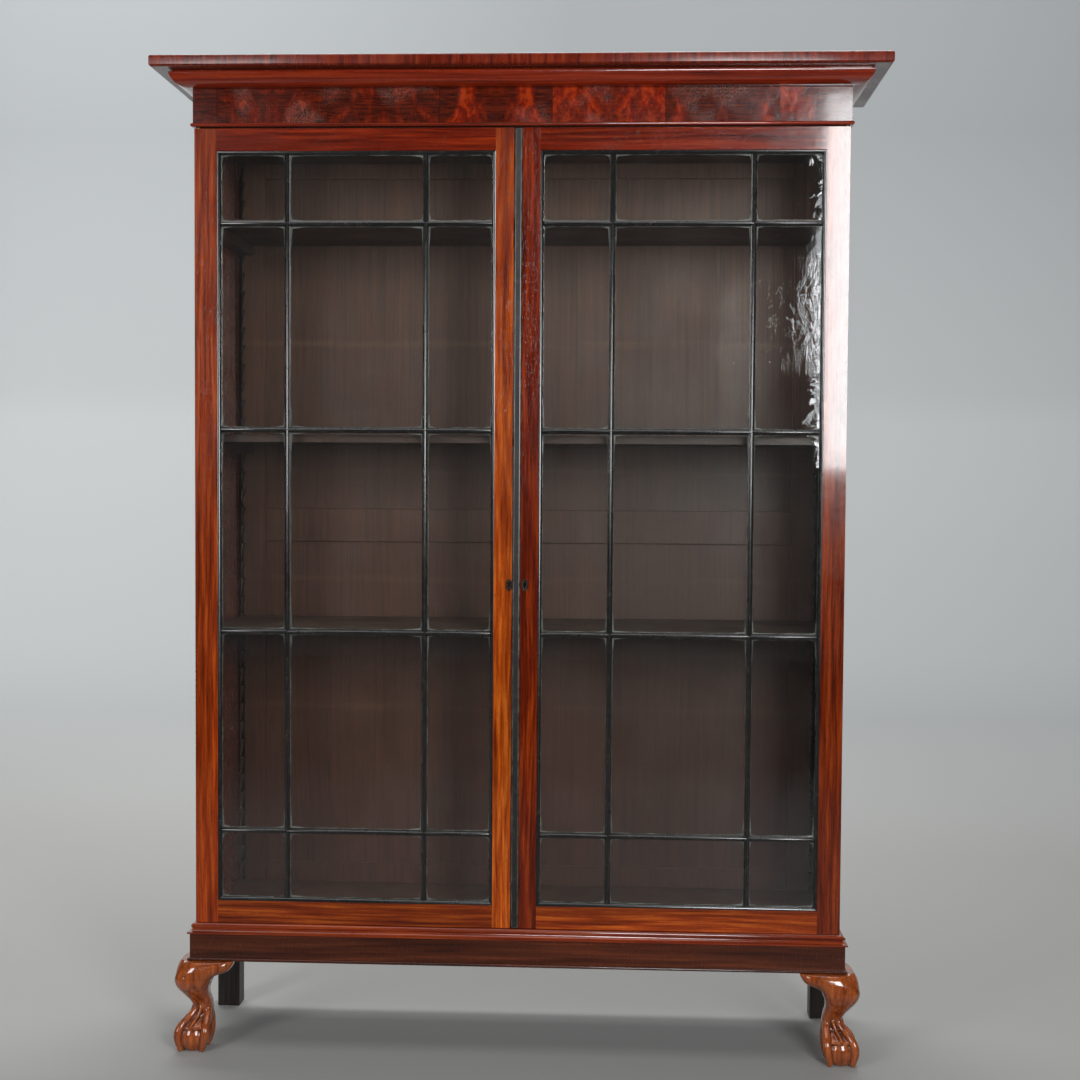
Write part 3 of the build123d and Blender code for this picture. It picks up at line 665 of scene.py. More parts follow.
def old_glass(name, glass):
    """Clear old window glass: rippled, and each pane set a little out of true."""
    finish, make, shader, end = new_finish(name)
    place = make.attribute("grain")["Vector"]
    slow = make.noise(make.stretch(place, 13.0, 13.0, 20.0), detail=2.0, distortion=0.5)
    seedy = make.noise(make.stretch(place, 55.0, 55.0, 30.0), detail=3.0, distortion=1.5)
    patches = make.spread(make.noise(place, 4.0, 2.0), 0.45, 0.62, 0.08, 1.0)
    height = make.math("ADD", slow, make.math("MULTIPLY", make.math("MULTIPLY", seedy, patches), 0.35))
    rippled = make.bump(height, glass.ripple)
    tilted = make.vector("NORMALIZE", make.vector("ADD", rippled, make.attribute("tilt")["Vector"]))
    connect(make, shader, Base_Color=(0.93, 0.97, 0.955, 1.0), Roughness=0.0, IOR=1.5,
            Specular_IOR_Level=0.0, Transmission_Weight=1.0, Coat_Weight=1.0, Coat_Roughness=0.02,
            Coat_Normal=tilted)
    clear = make.add("BsdfTransparent", {"Color": (0.9, 0.93, 0.92, 1.0)})
    path = make.add("LightPath").outputs
    passing = make.math("MAXIMUM", path["Is Shadow Ray"], path["Is Diffuse Ray"])
    both = make.add("MixShader", {0: passing, 1: shader.outputs[0], 2: clear.outputs[0]})
    make.tree.links.new(both.outputs[0], end.inputs["Surface"])
    return finish


def dust_film(name, glass):
    """Thin film of dust and flecks of dirt on the glass."""
    finish, make, shader, _ = new_finish(name)
    place = make.place()
    smear = make.noise(make.stretch(place, 9.0, 9.0, 5.0), detail=5.0, roughness=0.6, distortion=0.8)
    wiped = make.noise(make.stretch(place, 60.0, 60.0, 6.0), detail=3.0)
    veil = make.math("MULTIPLY", make.spread(smear, 0.3, 0.75, 0.45, 1.7), glass.haze)
    veil = make.math("MULTIPLY", veil, make.spread(wiped, 0.3, 0.7, 0.8, 1.2))
    flecks = make.add("TexVoronoi", {"Vector": place, "Scale": 64.0, "Randomness": 1.0})
    fleck_size = make.math("MULTIPLY", make.split(flecks.outputs["Color"])[0], 0.085)
    present = make.math("GREATER_THAN", make.split(flecks.outputs["Color"])[1], 0.78)
    fleck = make.math("LESS_THAN", flecks.outputs["Distance"], fleck_size)
    fleck = make.math("MULTIPLY", make.math("MULTIPLY", fleck, present), 0.6)
    alpha = make.math("MAXIMUM", veil, fleck)
    connect(make, shader, Base_Color=make.ramp(smear, (0.3, tint(128, 126, 120)), (0.7, tint(176, 178, 176))),
            Roughness=0.7, Alpha=alpha, Specular_IOR_Level=0.2)
    return finish


def putty(name):
    """Pale where it shows against the glass, and painted dark on its sloping back."""
    finish, make, shader, _ = new_finish(name)
    place = make.place()
    facing = make.split(make.add("TexCoord").outputs["Normal"])[1]
    lumps = make.noise(place, 240.0, 4.0, 0.65)
    pale = make.ramp(lumps, (0.3, tint(96, 95, 90)), (0.6, tint(150, 150, 144)))
    painted = make.ramp(lumps, (0.3, tint(26, 20, 17)), (0.7, tint(58, 46, 38)))
    missing = make.spread(make.noise(place, 30.0, 3.0), 0.45, 0.62, 0.0, 0.85)
    pale = make.mix(missing, pale, tint(52, 50, 46))
    base = make.mix(make.spread(facing, -0.9, -0.7), pale, painted)
    connect(make, shader, Base_Color=base, Roughness=make.spread(lumps, 0.3, 0.7, 0.55, 0.85),
            Normal=make.bump(lumps, 0.0003))
    return finish


def old_metal(name, base, bright, rough, spots=tint(52, 32, 22)):
    """Old metal, dull in its faces, spotted, and rubbed bright where hands and parts touch it."""
    finish, make, shader, _ = new_finish(name)
    place = make.place()
    clouds = make.noise(place, 160.0, 5.0, 0.6)
    fine = make.noise(place, 1400.0, 3.0)
    body = make.ramp(clouds, (0.3, [c * 0.6 for c in base]), (0.7, [min(1.0, c * 1.35) for c in base]))
    rubbed = make.spread(make.noise(place, 420.0, 3.0), 0.56, 0.7)
    body = make.mix(make.math("MULTIPLY", rubbed, 0.6), body, bright)
    marks = make.spread(make.noise(place, 700.0, 4.0, 0.7), 0.6, 0.7, 0.0, 0.7)
    body = make.mix(marks, body, spots)
    roughness = make.spread(clouds, 0.3, 0.7, 0.3, rough)
    connect(make, shader, Base_Color=body, Metallic=1.0, Roughness=roughness,
            Normal=make.bump(fine, 0.00003))
    return finish


# ---- glass pieces -------------------------------------------------------

def pane_boxes(side):
    """Lowest and highest corner of each pane of a door, in X and Z."""
    shape = clean_copy(f"{side}_panes")
    boxes = []
    for pane in islands(shape):
        xs, zs = [v.co.x for v in pane], [v.co.z for v in pane]
        boxes.append((min(xs), min(zs), max(xs), max(zs)))
    shape.free()
    return boxes


def glass_panes(side, finish, glass):
    """A door's panes, each with its own ripple and tilt."""
    node = f"{side}_panes"
    shape = lay_grain(clean_copy(node), node)
    chooser = random.Random(node)
    grain = shape.verts.layers.float_vector["grain"]
    tilt = shape.verts.layers.float_vector.new("tilt")
    for pane in islands(shape):
        lean = [chooser.gauss(0, glass.tilt) for _ in range(2)]
        shift = Vector([chooser.uniform(-5, 5) for _ in range(3)])
        for vert in pane:
            vert[tilt] = (lean[0], 0.0, lean[1])
            vert[grain] = vert.co + shift
    return show(f"{side}_glass", shape, finish, node, [node])


def putty_ring(shape, box, cover, glass, seed):
    """Wedge of putty behind one pane, with smeared round corners inside."""
    x0, z0, x1, z1 = box
    made = bmesh.ops.create_circle(shape, cap_ends=False, segments=ROUND, radius=1.0)["verts"]
    bmesh.ops.rotate(shape, verts=made, cent=(0, 0, 0), matrix=Matrix.Rotation(math.pi / 2, 3, "X"))
    middle = Vector(((x0 + x1) / 2, GLASS_BACK, (z0 + z1) / 2))
    inner = (x0 + cover[0], z0 + cover[1], x1 - cover[2], z1 - cover[3])
    radius = glass.putty_corner
    for vert in made:
        turn = Vector((vert.co.x, vert.co.z))
        square = turn / max(abs(turn.x), abs(turn.y))
        x = inner[2] if square.x > 0 else inner[0]
        z = inner[3] if square.y > 0 else inner[1]
        vert.co = (middle.x + abs(square.x) * (x - middle.x), GLASS_BACK,
                   middle.z + abs(square.y) * (z - middle.z))
    corner_centres = [(inner[0] + radius, inner[1] + radius), (inner[2] - radius, inner[1] + radius),
                      (inner[0] + radius, inner[3] - radius), (inner[2] - radius, inner[3] - radius)]
    inside = set(made)
    ring = [edge for edge in shape.edges if inside.issuperset(edge.verts)]
    extruded = bmesh.ops.extrude_edge_only(shape, edges=ring)["geom"]
    outer_front = of_kind(extruded, bmesh.types.BMVert)
    for vert in outer_front:
        square_x = (vert.co.x - middle.x) / ((inner[2] - inner[0]) / 2)
        square_z = (vert.co.z - middle.z) / ((inner[3] - inner[1]) / 2)
        vert.co = (middle.x + square_x * (x1 - x0) / 2, GLASS_BACK, middle.z + square_z * (z1 - z0) / 2)
    front_edges = of_kind(extruded, bmesh.types.BMEdge)
    back = bmesh.ops.extrude_edge_only(shape, edges=front_edges)["geom"]
    back_verts = of_kind(back, bmesh.types.BMVert)
    back_edges = of_kind(back, bmesh.types.BMEdge)
    for vert in back_verts:
        vert.co.y = GLASS_BACK + PUTTY_DEPTH
    bmesh.ops.bridge_loops(shape, edges=back_edges + ring)
    for vert in made:
        for cx, cz in corner_centres:
            beyond_x = (vert.co.x - cx) * (1 if cx > middle.x else -1)
            beyond_z = (vert.co.z - cz) * (1 if cz > middle.z else -1)
            if beyond_x > 0 and beyond_z > 0:
                out = Vector((vert.co.x - cx, vert.co.z - cz))
                out = out.normalized() * min(out.length, radius)
                vert.co.x, vert.co.z = cx + out.x, cz + out.y
        ragged = noise.noise(Vector((vert.co.x, seed, vert.co.z)) * 70.0) * 1.3 * MM
        toward = Vector((vert.co.x - middle.x, vert.co.z - middle.z)).normalized()
        vert.co.x -= toward.x * ragged
        vert.co.z -= toward.y * ragged


def glass_putty(side, finish, glass):
    """Putty round every pane of a door."""
    shape = bmesh.new()
    boxes = pane_boxes(side)
    low_x, low_z = min(box[0] for box in boxes), min(box[1] for box in boxes)
    high_x, high_z = max(box[2] for box in boxes), max(box[3] for box in boxes)
    bar_cover, bead_cover = 3.5 * MM + glass.putty, 6.5 * MM + glass.putty
    for index, box in enumerate(boxes):
        ends = ((box[0], low_x), (box[1], low_z), (box[2], high_x), (box[3], high_z))
        cover = [bead_cover if abs(a - b) < MM else bar_cover for a, b in ends]
        putty_ring(shape, box, cover, glass, index * 3.1 + len(side))
    bmesh.ops.recalc_face_normals(shape, faces=shape.faces)
    node = f"{side}_panes"
    return show(f"{side}_putty", shape, finish, node)


def glass_film(side, finish):
    """Dust film on the outside of every pane of a door."""
    shape = bmesh.new()
    gap = 0.15 * MM
    for x0, z0, x1, z1 in pane_boxes(side):
        place = (Matrix.Translation(((x0 + x1) / 2, GLASS_FRONT - gap, (z0 + z1) / 2))
                 @ Matrix.Rotation(math.pi / 2, 4, "X")
                 @ Matrix.Diagonal(((x1 - x0) / 2, (z1 - z0) / 2, 1.0, 1.0)))
        bmesh.ops.create_grid(shape, x_segments=1, y_segments=1, size=1.0, matrix=place)
    node = f"{side}_panes"
    return show(f"{side}_dust_film", shape, finish, node)


# ---- carved legs --------------------------------------------------------

def smooth_stations(stations, steps):
    """More stations on a smooth line through the given ones."""
    rows = [stations[0]] + list(stations) + [stations[-1]]
    result = []
    for p0, p1, p2, p3 in zip(rows[:-3], rows[1:-2], rows[2:-1], rows[3:]):
        for step in range(steps):
            t = step / steps
            result.append(tuple(
                0.5 * (2 * b + (c - a) * t + (2 * a - 5 * b + 4 * c - d) * t ** 2
                       + (3 * b - a - 3 * c + d) * t ** 3)
                for a, b, c, d in zip(p0, p1, p2, p3)))
    return result + [tuple(stations[-1])]


def loft(shape, stations, along, square):
    """A closed column through rounded sections.

    A station is the place along the axis, the section's middle and half sizes on the other two."""
    first, second = [axis for axis in range(3) if axis != along]
    cap = bmesh.ops.create_circle(shape, cap_ends=True, segments=ROUND, radius=1.0)["verts"]
    angles = {vert: math.atan2(vert.co.y, vert.co.x) for vert in cap}

    def set_ring(ring, station):
        place, middle_a, middle_b, half_a, half_b = station
        for vert in ring:
            cosine, sine = math.cos(ring[vert]), math.sin(ring[vert])
            reach = (abs(cosine) ** square + abs(sine) ** square) ** (-1 / square)
            vert.co[along] = place
            vert.co[first] = middle_a + half_a * reach * cosine
            vert.co[second] = middle_b + half_b * reach * sine

    set_ring(angles, stations[0])
    face = cap[0].link_faces[0]
    for station in stations[1:]:
        before = {spot(vert.co): angles[vert] for vert in face.verts}
        made = bmesh.ops.extrude_face_region(shape, geom=[face])["geom"]
        angles = {item: before[spot(item.co)] for item in made if isinstance(item, bmesh.types.BMVert)}
        face = of_kind(made, bmesh.types.BMFace)[0]
        set_ring(angles, station)
    return shape


def tube(points, radii):
    """Mesh of a round tube that swells and narrows along a smooth line."""
    curve = bpy.data.curves.new("toe_line", "CURVE")
    curve.dimensions = "3D"
    curve.bevel_depth = 1.0
    curve.bevel_resolution = 4
    curve.use_fill_caps = True
    spline = curve.splines.new("NURBS")
    spline.points.add(len(points) - 1)
    for target, place, radius in zip(spline.points, points, radii):
        target.co = (*place, 1.0)
        target.radius = radius
    spline.order_u = 3
    spline.use_endpoint_u = True
    spline.resolution_u = 6
    holder = bpy.data.objects.new("toe_line", curve)
    bpy.context.scene.collection.objects.link(holder)
    bpy.context.view_layer.update()
    mesh = bpy.data.meshes.new_from_object(holder)
    bpy.data.objects.remove(holder)
    bpy.data.curves.remove(curve)
    return mesh


# Each toe's line: outward along the leg's diagonal, sideways, level and thickness, in millimetres.
FRONT_TOE = (
    (-8, 0, 82, 7), (3, 0, 68, 7), (17, 0, 59, 7.5), (29, 0, 49, 8), (36, 0, 37, 8.5),
    (37, 0, 24, 7.5), (33, 0, 11, 6.5), (29, 0, 1, 5.5))
SIDE_TOE = (
    (-25, 13, 82, 7), (-20, 21, 68, 7), (-12, 29, 57, 7.5), (-5, 35, 47, 8), (-2, 38, 36, 8.5),
    (0, 38, 24, 7.5), (0, 34, 11, 6.5), (0, 30, 1, 5.5))
BACK_TOE = (
    (-36, 0, 82, 7), (-40, 0, 68, 7), (-41, 0, 52, 8), (-41, 0, 37, 8), (-40, 0, 24, 7.5),
    (-36, 0, 11, 6.5), (-31, 0, 1, 5.5))
WEB_RIDGE = ((-9, 14, 84, 3), (-4, 13, 68, 3.2), (8, 15, 58, 3.4), (19, 19, 48, 3))
# Leg stations: level, how far the middle stands out from the case's corner, and half width.
LEG_STATIONS = (
    (178, -9.5, 23.5), (171, -5.5, 28.0), (160, -1.5, 34.0), (148, 1.0, 37.6), (137, 3.2, 36.2),
    (124, 3.2, 31.0), (110, -1.5, 25.0), (96, -8.0, 21.3), (82, -12.2, 19.2), (70, -12.4, 19.8),
    (62, -9.5, 21.5), (55, -5.0, 25.0), (48, -0.5, 29.0), (44, 2.0, 27.5), (38, 3.5, 22.0),
    (10, 4.0, 18.0))
# Ear stations: distance in from the case's face, how far the face stands out, lowest and highest level.
EAR_STATIONS = (
    (-38, 14, 138, 152), (-33, 26, 126, 161), (-24, 34, 117, 169), (-12, 38, 113, 176),
    (2, 39, 112, 182), (18, 38, 122, 182), (29, 36, 135, 182), (38, 33, 145, 182), (50, 30, 150, 182),
    (61, 26, 153, 182), (70, 20, 160, 182), (76.5, 13, 171, 182))


def toe(line, side, corner):
    """One toe on the right leg, for a side of 1, -1 or 0."""
    out, across = Vector((1, -1, 0)).normalized(), Vector((1, 1, 0)).normalized()
    points = [corner + (out * u + across * v * side + Vector((0, 0, z))) * MM for u, v, z, _ in line]
    return tube(points, [radius * MM for *_, radius in line])


def carve_leg():
    """The right front leg: knee, ankle, ears, and a claw that holds a ball."""
    shape = bmesh.new()
    corner = Vector((HALF, DOOR_FRONT, 0))
    stations = [(z * MM, corner.x + c * MM, corner.y - c * MM, h * MM, h * MM)
                for z, c, h in smooth_stations(LEG_STATIONS, 4)]
    loft(shape, stations, 2, 2.9)
    behind = 12.0
    for swap in (False, True):
        ear = bmesh.new()
        rows = []
        for inward, out, low, top in smooth_stations(EAR_STATIONS, 3):
            rows.append((corner.x - inward * MM, corner.y - (out - behind) / 2 * MM, (top + low) / 2 * MM,
                         (out + behind) / 2 * MM, (top - low) / 2 * MM))
        loft(ear, rows, 0, 2.1)
        if swap:
            for vert in ear.verts:
                vert.co.x, vert.co.y = (corner.x - (vert.co.y - corner.y), corner.y - (vert.co.x - corner.x))
        bmesh.ops.recalc_face_normals(ear, faces=ear.faces)
        mesh = bpy.data.meshes.new("ear")
        ear.to_mesh(mesh)
        ear.free()
        shape.from_mesh(mesh)
        bpy.data.meshes.remove(mesh)
    ball_corner = corner + Vector((4 * MM, -4 * MM, 0))
    for line, sides in ((FRONT_TOE, (0,)), (SIDE_TOE, (-1, 1)), (BACK_TOE, (0,)), (WEB_RIDGE, (-1, 1))):
        for side in sides:
            mesh = toe(line, side, ball_corner)
            shape.from_mesh(mesh)
            bpy.data.meshes.remove(mesh)
    ball = Matrix.Translation(ball_corner + Vector((0, 0, BALL_LEVEL)))
    bmesh.ops.create_icosphere(shape, subdivisions=4, radius=BALL_RADIUS, matrix=ball)
    bmesh.ops.recalc_face_normals(shape, faces=shape.faces)
    return fuse(shape, 1.4 * MM)


def soften(shape, times):
    for _ in range(times):
        bmesh.ops.smooth_vert(shape, verts=shape.verts, factor=0.5, use_axis_x=True, use_axis_y=True,
                              use_axis_z=True)


def fuse(shape, voxel):
    """Joins overlapping closed shapes into one skin and softens it."""
    mesh = bpy.data.meshes.new("carving_block")
    shape.to_mesh(mesh)
    shape.free()
    holder = bpy.data.objects.new("carving_block", mesh)
    bpy.context.scene.collection.objects.link(holder)
    remesh = holder.modifiers.new("Remesh", "REMESH")
    remesh.mode = "VOXEL"
    remesh.voxel_size = voxel
    bpy.context.view_layer.update()
    skin = bpy.data.meshes.new_from_object(holder.evaluated_get(bpy.context.evaluated_depsgraph_get()))
    bpy.data.objects.remove(holder)
    bpy.data.meshes.remove(mesh)
    result = bmesh.new()
    result.from_mesh(skin)
    bpy.data.meshes.remove(skin)
    soften(result, 5)
    return result


def cut_flat(shape, level, keep_above):
    """Cuts a closed shape at a level and closes the cut."""
    made = bmesh.ops.bisect_plane(shape, geom=shape.verts[:] + shape.edges[:] + shape.faces[:],
                                  dist=1e-6, plane_co=(0, 0, level), plane_no=(0, 0, 1),
                                  clear_inner=keep_above, clear_outer=not keep_above)
    rim = of_kind(made["geom_cut"], bmesh.types.BMEdge)
    bmesh.ops.holes_fill(shape, edges=rim, sides=0)


def mark_carving(shape):
    """Marks hollows, where dirt gathers and shade is painted, and ridges, which are rubbed bright."""
    shape.normal_update()
    hollow = shape.verts.layers.float.new("hollow")
    worn = shape.verts.layers.float.new("worn")
    before = {vert: (vert.co.copy(), vert.normal.copy()) for vert in shape.verts}
    soften(shape, 14)
    for vert, (place, normal) in before.items():
        height = (place - vert.co).dot(normal) / (0.9 * MM)
        vert[hollow] = min(1.0, max(0.0, -height))
        vert[worn] = min(1.0, max(0.0, height))
        vert.co = place


def front_leg(side, finish):
    """One carved front leg with its ears."""
    shape = carve_leg()
    cut_flat(shape, 0.0, True)
    cut_flat(shape, LEG_TOP, False)
    mark_carving(shape)
    if side == "left":
        bmesh.ops.scale(shape, verts=shape.verts, vec=(-1, 1, 1))
        bmesh.ops.recalc_face_normals(shape, faces=shape.faces)
    for face in shape.faces:
        face.smooth = face.calc_area() < 100 * MM * MM
    lay_grain(shape, f"leg_front_{side}", 2)
    node = f"leg_front_{side}"
    return show(f"{node}_carved", shape, finish, node,
                [node] + (["leg_brackets"] if side == "left" else []))


# ---- studio -------------------------------------------------------------

def backdrop():
    """Pale floor that curves up into a pale wall behind."""
    shape = bmesh.new()
    start, turn_at, radius, width, height = -7.0, 4.4, 1.6, 11.0, 7.0
    ends = [shape.verts.new((-width, start, 0)), shape.verts.new((width, start, 0))]
    edge = [shape.edges.new(ends)]

    def swept(edges, shift):
        made = bmesh.ops.extrude_edge_only(shape, edges=edges)["geom"]
        verts = of_kind(made, bmesh.types.BMVert)
        bmesh.ops.translate(shape, verts=verts, vec=shift)
        return of_kind(made, bmesh.types.BMEdge)

    edge = swept(edge, (0, turn_at - start, 0))
    curve = bmesh.ops.spin(shape, geom=edge + [v for e in edge for v in e.verts], angle=math.pi / 2,
                           steps=24, axis=(1, 0, 0), cent=(0, turn_at, radius))
    last = of_kind(curve["geom_last"], bmesh.types.BMEdge)
    swept(last, (0, 0, height))
    bmesh.ops.remove_doubles(shape, verts=shape.verts, dist=1e-5)
    for face in shape.faces:
        face.smooth = True
    bmesh.ops.recalc_face_normals(shape, faces=shape.faces)
    if shape.faces[0].normal.z < 0:
        bmesh.ops.reverse_faces(shape, faces=shape.faces)
    mesh = bpy.data.meshes.new("studio_floor")
    shape.to_mesh(mesh)
    shape.free()
    floor = bpy.data.objects.new("studio_floor", mesh)
    bpy.context.scene.collection.objects.link(floor)
    finish, make, shader, end = new_finish("Studio paper")
    x, y, z = make.split(make.place())
    # Painted light and shade: the paper is darker on the floor further in front of the case and to the right,
    # and on the wall it is lightest about 1.4 m up and on the left, darker higher up, in the middle and on
    # the right.
    near = make.ramp(make.spread(y, -1.0, -0.3), (0.0, tint(92, 93, 94)), (1.0, tint(166, 166, 164)))
    near = make.mix(1.0, near, make.ramp(make.spread(x, -1.5, 1.5), (0.0, (0.95,) * 3), (1.0, (0.72,) * 3)),
                    "MULTIPLY")
    far = make.ramp(make.spread(z, 0.0, 4.0), (0.0, tint(196, 199, 200)), (0.35, tint(216, 220, 221)),
                    (0.75, tint(176, 180, 182)), (1.0, tint(168, 172, 174)))
    far = make.mix(1.0, far, make.ramp(make.spread(x, -3.2, 3.0), (0.0, (0.93,) * 3), (0.5, (0.62,) * 3),
                                       (1.0, (0.72,) * 3)), "MULTIPLY")
    connect(make, shader, Base_Color=make.mix(make.spread(y, 1.6, 5.2), near, far), Roughness=0.75,
            Specular_IOR_Level=0.2)
    # The floor in front of the case glows an even pale grey where the camera sees it directly, and shows its
    # darker painted colour in reflections and bounced light.
    glow = make.add("Emission", {"Color": (*tint(170, 172, 172), 1.0)})
    seen = make.math("MULTIPLY", make.spread(y, -0.4, -2.2), make.add("LightPath").outputs["Is Camera Ray"])
    both = make.add("MixShader", {0: seen, 1: shader.outputs[0], 2: glow.outputs[0]})
    make.tree.links.new(both.outputs[0], end.inputs["Surface"])
    mesh.materials.append(finish)
    return floor


def area_light(name, place, target, size, power, colour_of=(1.0, 1.0, 1.0)):
    """A rectangular softbox that looks at a point."""
    light = bpy.data.lights.new(name, "AREA")
    light.shape = "RECTANGLE"
    light.size, light.size_y = size
    light.energy = power
    light.color = colour_of
    holder = bpy.data.objects.new(name, light)
    holder.location = place
    holder.rotation_euler = (Vector(target) - Vector(place)).to_track_quat("-Z", "Y").to_euler()
    bpy.context.scene.collection.objects.link(holder)
    return holder


# ---- operators ----------------------------------------------------------

FINISHES = {}


def finish_of(name, maker, *settings, **more):
    """A finish, made the first time that a piece asks for it."""
    if name not in FINISHES:
        FINISHES[name] = maker(name, *settings, **more)
    return FINISHES[name]


class BOOKCASE_OT_doors(bpy.types.Operator):
    """Stiles and rails of both doors, and the strip between them"""
    bl_idname = "bookcase.doors"
    bl_label = "Door frames"

    def execute(self, context):
        timber = context.scene.bookcase_timber
        # Painted light and shade: the right hinge stile takes a darker copy of the door mahogany, and the
        # stiles are multiplied by colours that change with height, lighter towards the bottom on the left
        # door and darker on the right door. The orange left and deep red right meeting stiles are partly the
        # wood's own colour and partly this painted light. The rails are lighter and more orange towards the
        # bottom and darker towards the top.
        frame_wood = finish_of(
            "Door mahogany", polished_timber, timber.door_dark, timber.door_mid, timber.door_light,
            width=0.007, contrast=1.15, low=(1.3, 1.25, 0.8), high=(1.0, 1.0, 1.0))
        shaded_wood = finish_of(
            "Shaded mahogany", polished_timber, tint(70, 19, 5), tint(124, 44, 12), tint(160, 70, 26),
            width=0.007, contrast=1.15, low=(0.75, 0.7, 0.7), high=(1.0, 1.0, 1.0))
        rail_wood = finish_of(
            "Rail mahogany", polished_timber, tint(72, 17, 5), tint(122, 38, 12), tint(164, 68, 26),
            width=0.007, low=(1.3, 1.75, 1.0), high=(0.85, 0.6, 0.4))
        stile_woods = {
            "left": finish_of(
                "Orange mahogany", polished_timber, tint(108, 34, 6), tint(166, 72, 16), timber.stile_light,
                width=0.007, stretch=20.0, wander=0.03, contrast=1.2, low=(1.45, 1.4, 1.0),
                high=(0.72, 0.5, 0.3)),
            "right": finish_of(
                "Deep red mahogany", polished_timber, tint(64, 16, 5), tint(108, 32, 9), tint(156, 62, 18),
                width=0.007, stretch=24.0, wander=0.03, contrast=1.2, low=(0.8, 0.8, 0.6),
                high=(0.75, 0.55, 0.3))}
        for side in SIDES:
            finish_board(f"{side}_hinge_stile", frame_wood if side == "left" else shaded_wood, timber.edge)
            finish_board(f"{side}_rails", rail_wood, timber.edge)
            finish_board(f"{side}_meeting_stile", stile_woods[side], timber.edge)
        strip_black = finish_of("Rubbed ebonised wood", ebonised, timber, 0.32, 0.5)
        finish_board("meeting_strip", strip_black, STRIP_ROUNDING, segments=6)
        return {"FINISHED"}


class BOOKCASE_OT_glazing_bars(bpy.types.Operator):
    """Ebonised beads and glazing bars"""
    bl_idname = "bookcase.glazing_bars"
    bl_label = "Beads and bars"

    def execute(self, context):
        timber = context.scene.bookcase_timber
        black = finish_of("Ebonised wood", ebonised, timber)
        for side in SIDES:
            for part in ("opening_bead", "upright_bars", "cross_bars"):
                finish_board(f"{side}_{part}", black, timber.moulding_edge)
        return {"FINISHED"}


class BOOKCASE_OT_panes(bpy.types.Operator):
    """Old glass with its putty and dust"""
    bl_idname = "bookcase.panes"
    bl_label = "Panes"

    def execute(self, context):
        glass = context.scene.bookcase_glass
        clear = finish_of("Old glass", old_glass, glass)
        pale = finish_of("Glazing putty", putty)
        film = finish_of("Dust film", dust_film, glass)
        for side in SIDES:
            glass_panes(side, clear, glass)
            glass_putty(side, pale, glass)
            glass_film(side, film)
        return {"FINISHED"}


class BOOKCASE_OT_carcass(bpy.types.Operator):
    """Sides, top, bottom and framed back"""
    bl_idname = "bookcase.carcass"
    bl_label = "Carcass"

    def execute(self, context):
        timber = context.scene.bookcase_timber
        side_wood = finish_of(
            "Side mahogany", polished_timber, tint(66, 26, 18), tint(112, 46, 30), tint(148, 70, 44),
            width=0.014, stretch=30.0, wander=0.05, gloss=0.24)
        for side in SIDES:
            finish_board(f"side_{side}", side_wood, timber.edge)
        marked = finish_of("Back timber", inside_timber, timber, SHELF_MARKS)
        plain = finish_of("Inside timber", inside_timber, timber)
        finish_board("back_frame", marked, timber.edge)
        finish_board("back_panels", marked, timber.edge, along=2)
        for part in ("carcass_top", "carcass_bottom"):
            finish_board(part, plain, timber.edge)
        return {"FINISHED"}


class BOOKCASE_OT_shelves(bpy.types.Operator):
    """Racks, shelves and their bearers"""
    bl_idname = "bookcase.shelves"
    bl_label = "Shelves"

    def execute(self, context):
        timber = context.scene.bookcase_timber
        # Painted shade: the shelves are given half the colour of the inside, so that the light on their tops
        # does not show.
        dark = finish_of("Shelf timber", inside_timber, timber, shade=0.5)
        for node in frame["nodes"]:
            if node.startswith(("shelf_", "bearer_")):
                finish_board(node, dark, timber.edge)
        return {"FINISHED"}


class BOOKCASE_OT_cornice(bpy.types.Operator):
    """Cornice board, moulding, frieze and bead"""
    bl_idname = "bookcase.cornice"
    bl_label = "Cornice"

    def execute(self, context):
        timber = context.scene.bookcase_timber
        banded = finish_of("Banded cornice", banded_cornice, timber)
        finish_board("cornice_board", banded, timber.moulding_edge)
        red = finish_of(
            "Cornice mahogany", polished_timber, tint(64, 13, 5), timber.cornice, tint(146, 54, 24),
            width=0.006, stretch=40.0, wander=0.01, gloss=0.16)
        for part in ("cornice_moulding", "frieze_bead"):
            finish_board(part, red, timber.moulding_edge)
        flame = finish_of("Flame veneer", flame_veneer, timber)
        finish_board("frieze", flame, timber.moulding_edge)
        return {"FINISHED"}


class BOOKCASE_OT_base(bpy.types.Operator):
    """Base moulding, plinth, its bead and its glue blocks"""
    bl_idname = "bookcase.base"
    bl_label = "Base"

    def execute(self, context):
        timber = context.scene.bookcase_timber
        roll = finish_of(
            "Base moulding mahogany", polished_timber, tint(80, 20, 8), tint(128, 44, 14),
            tint(166, 74, 30), width=0.006, stretch=40.0, wander=0.01, gloss=0.16)
        finish_board("base_moulding", roll, timber.moulding_edge)
        dark = finish_of(
            "Plinth mahogany", polished_timber, [c * 0.4 for c in timber.plinth], timber.plinth,
            tint(104, 50, 26), width=0.012, stretch=24.0, wander=0.03, gloss=0.24, coat=0.5)
        for part in ("plinth", "plinth_bead"):
            finish_board(part, dark, timber.moulding_edge)
        plain = finish_of("Inside timber", inside_timber, timber)
        finish_board("corner_blocks", plain, timber.edge)
        return {"FINISHED"}


class BOOKCASE_OT_front_legs(bpy.types.Operator):
    """Carved front legs with claw and ball feet"""
    bl_idname = "bookcase.front_legs"
    bl_label = "Front legs"

    def execute(self, context):
        timber = context.scene.bookcase_timber
        carved = finish_of(
            "Carved mahogany", polished_timber, tint(94, 34, 10), timber.carving, tint(176, 96, 46),
            width=0.007, stretch=14.0, wander=0.02, gloss=0.14, coat=0.9, wear=0.35, carved=True)
        for side in SIDES:
            front_leg(side, carved)
        return {"FINISHED"}


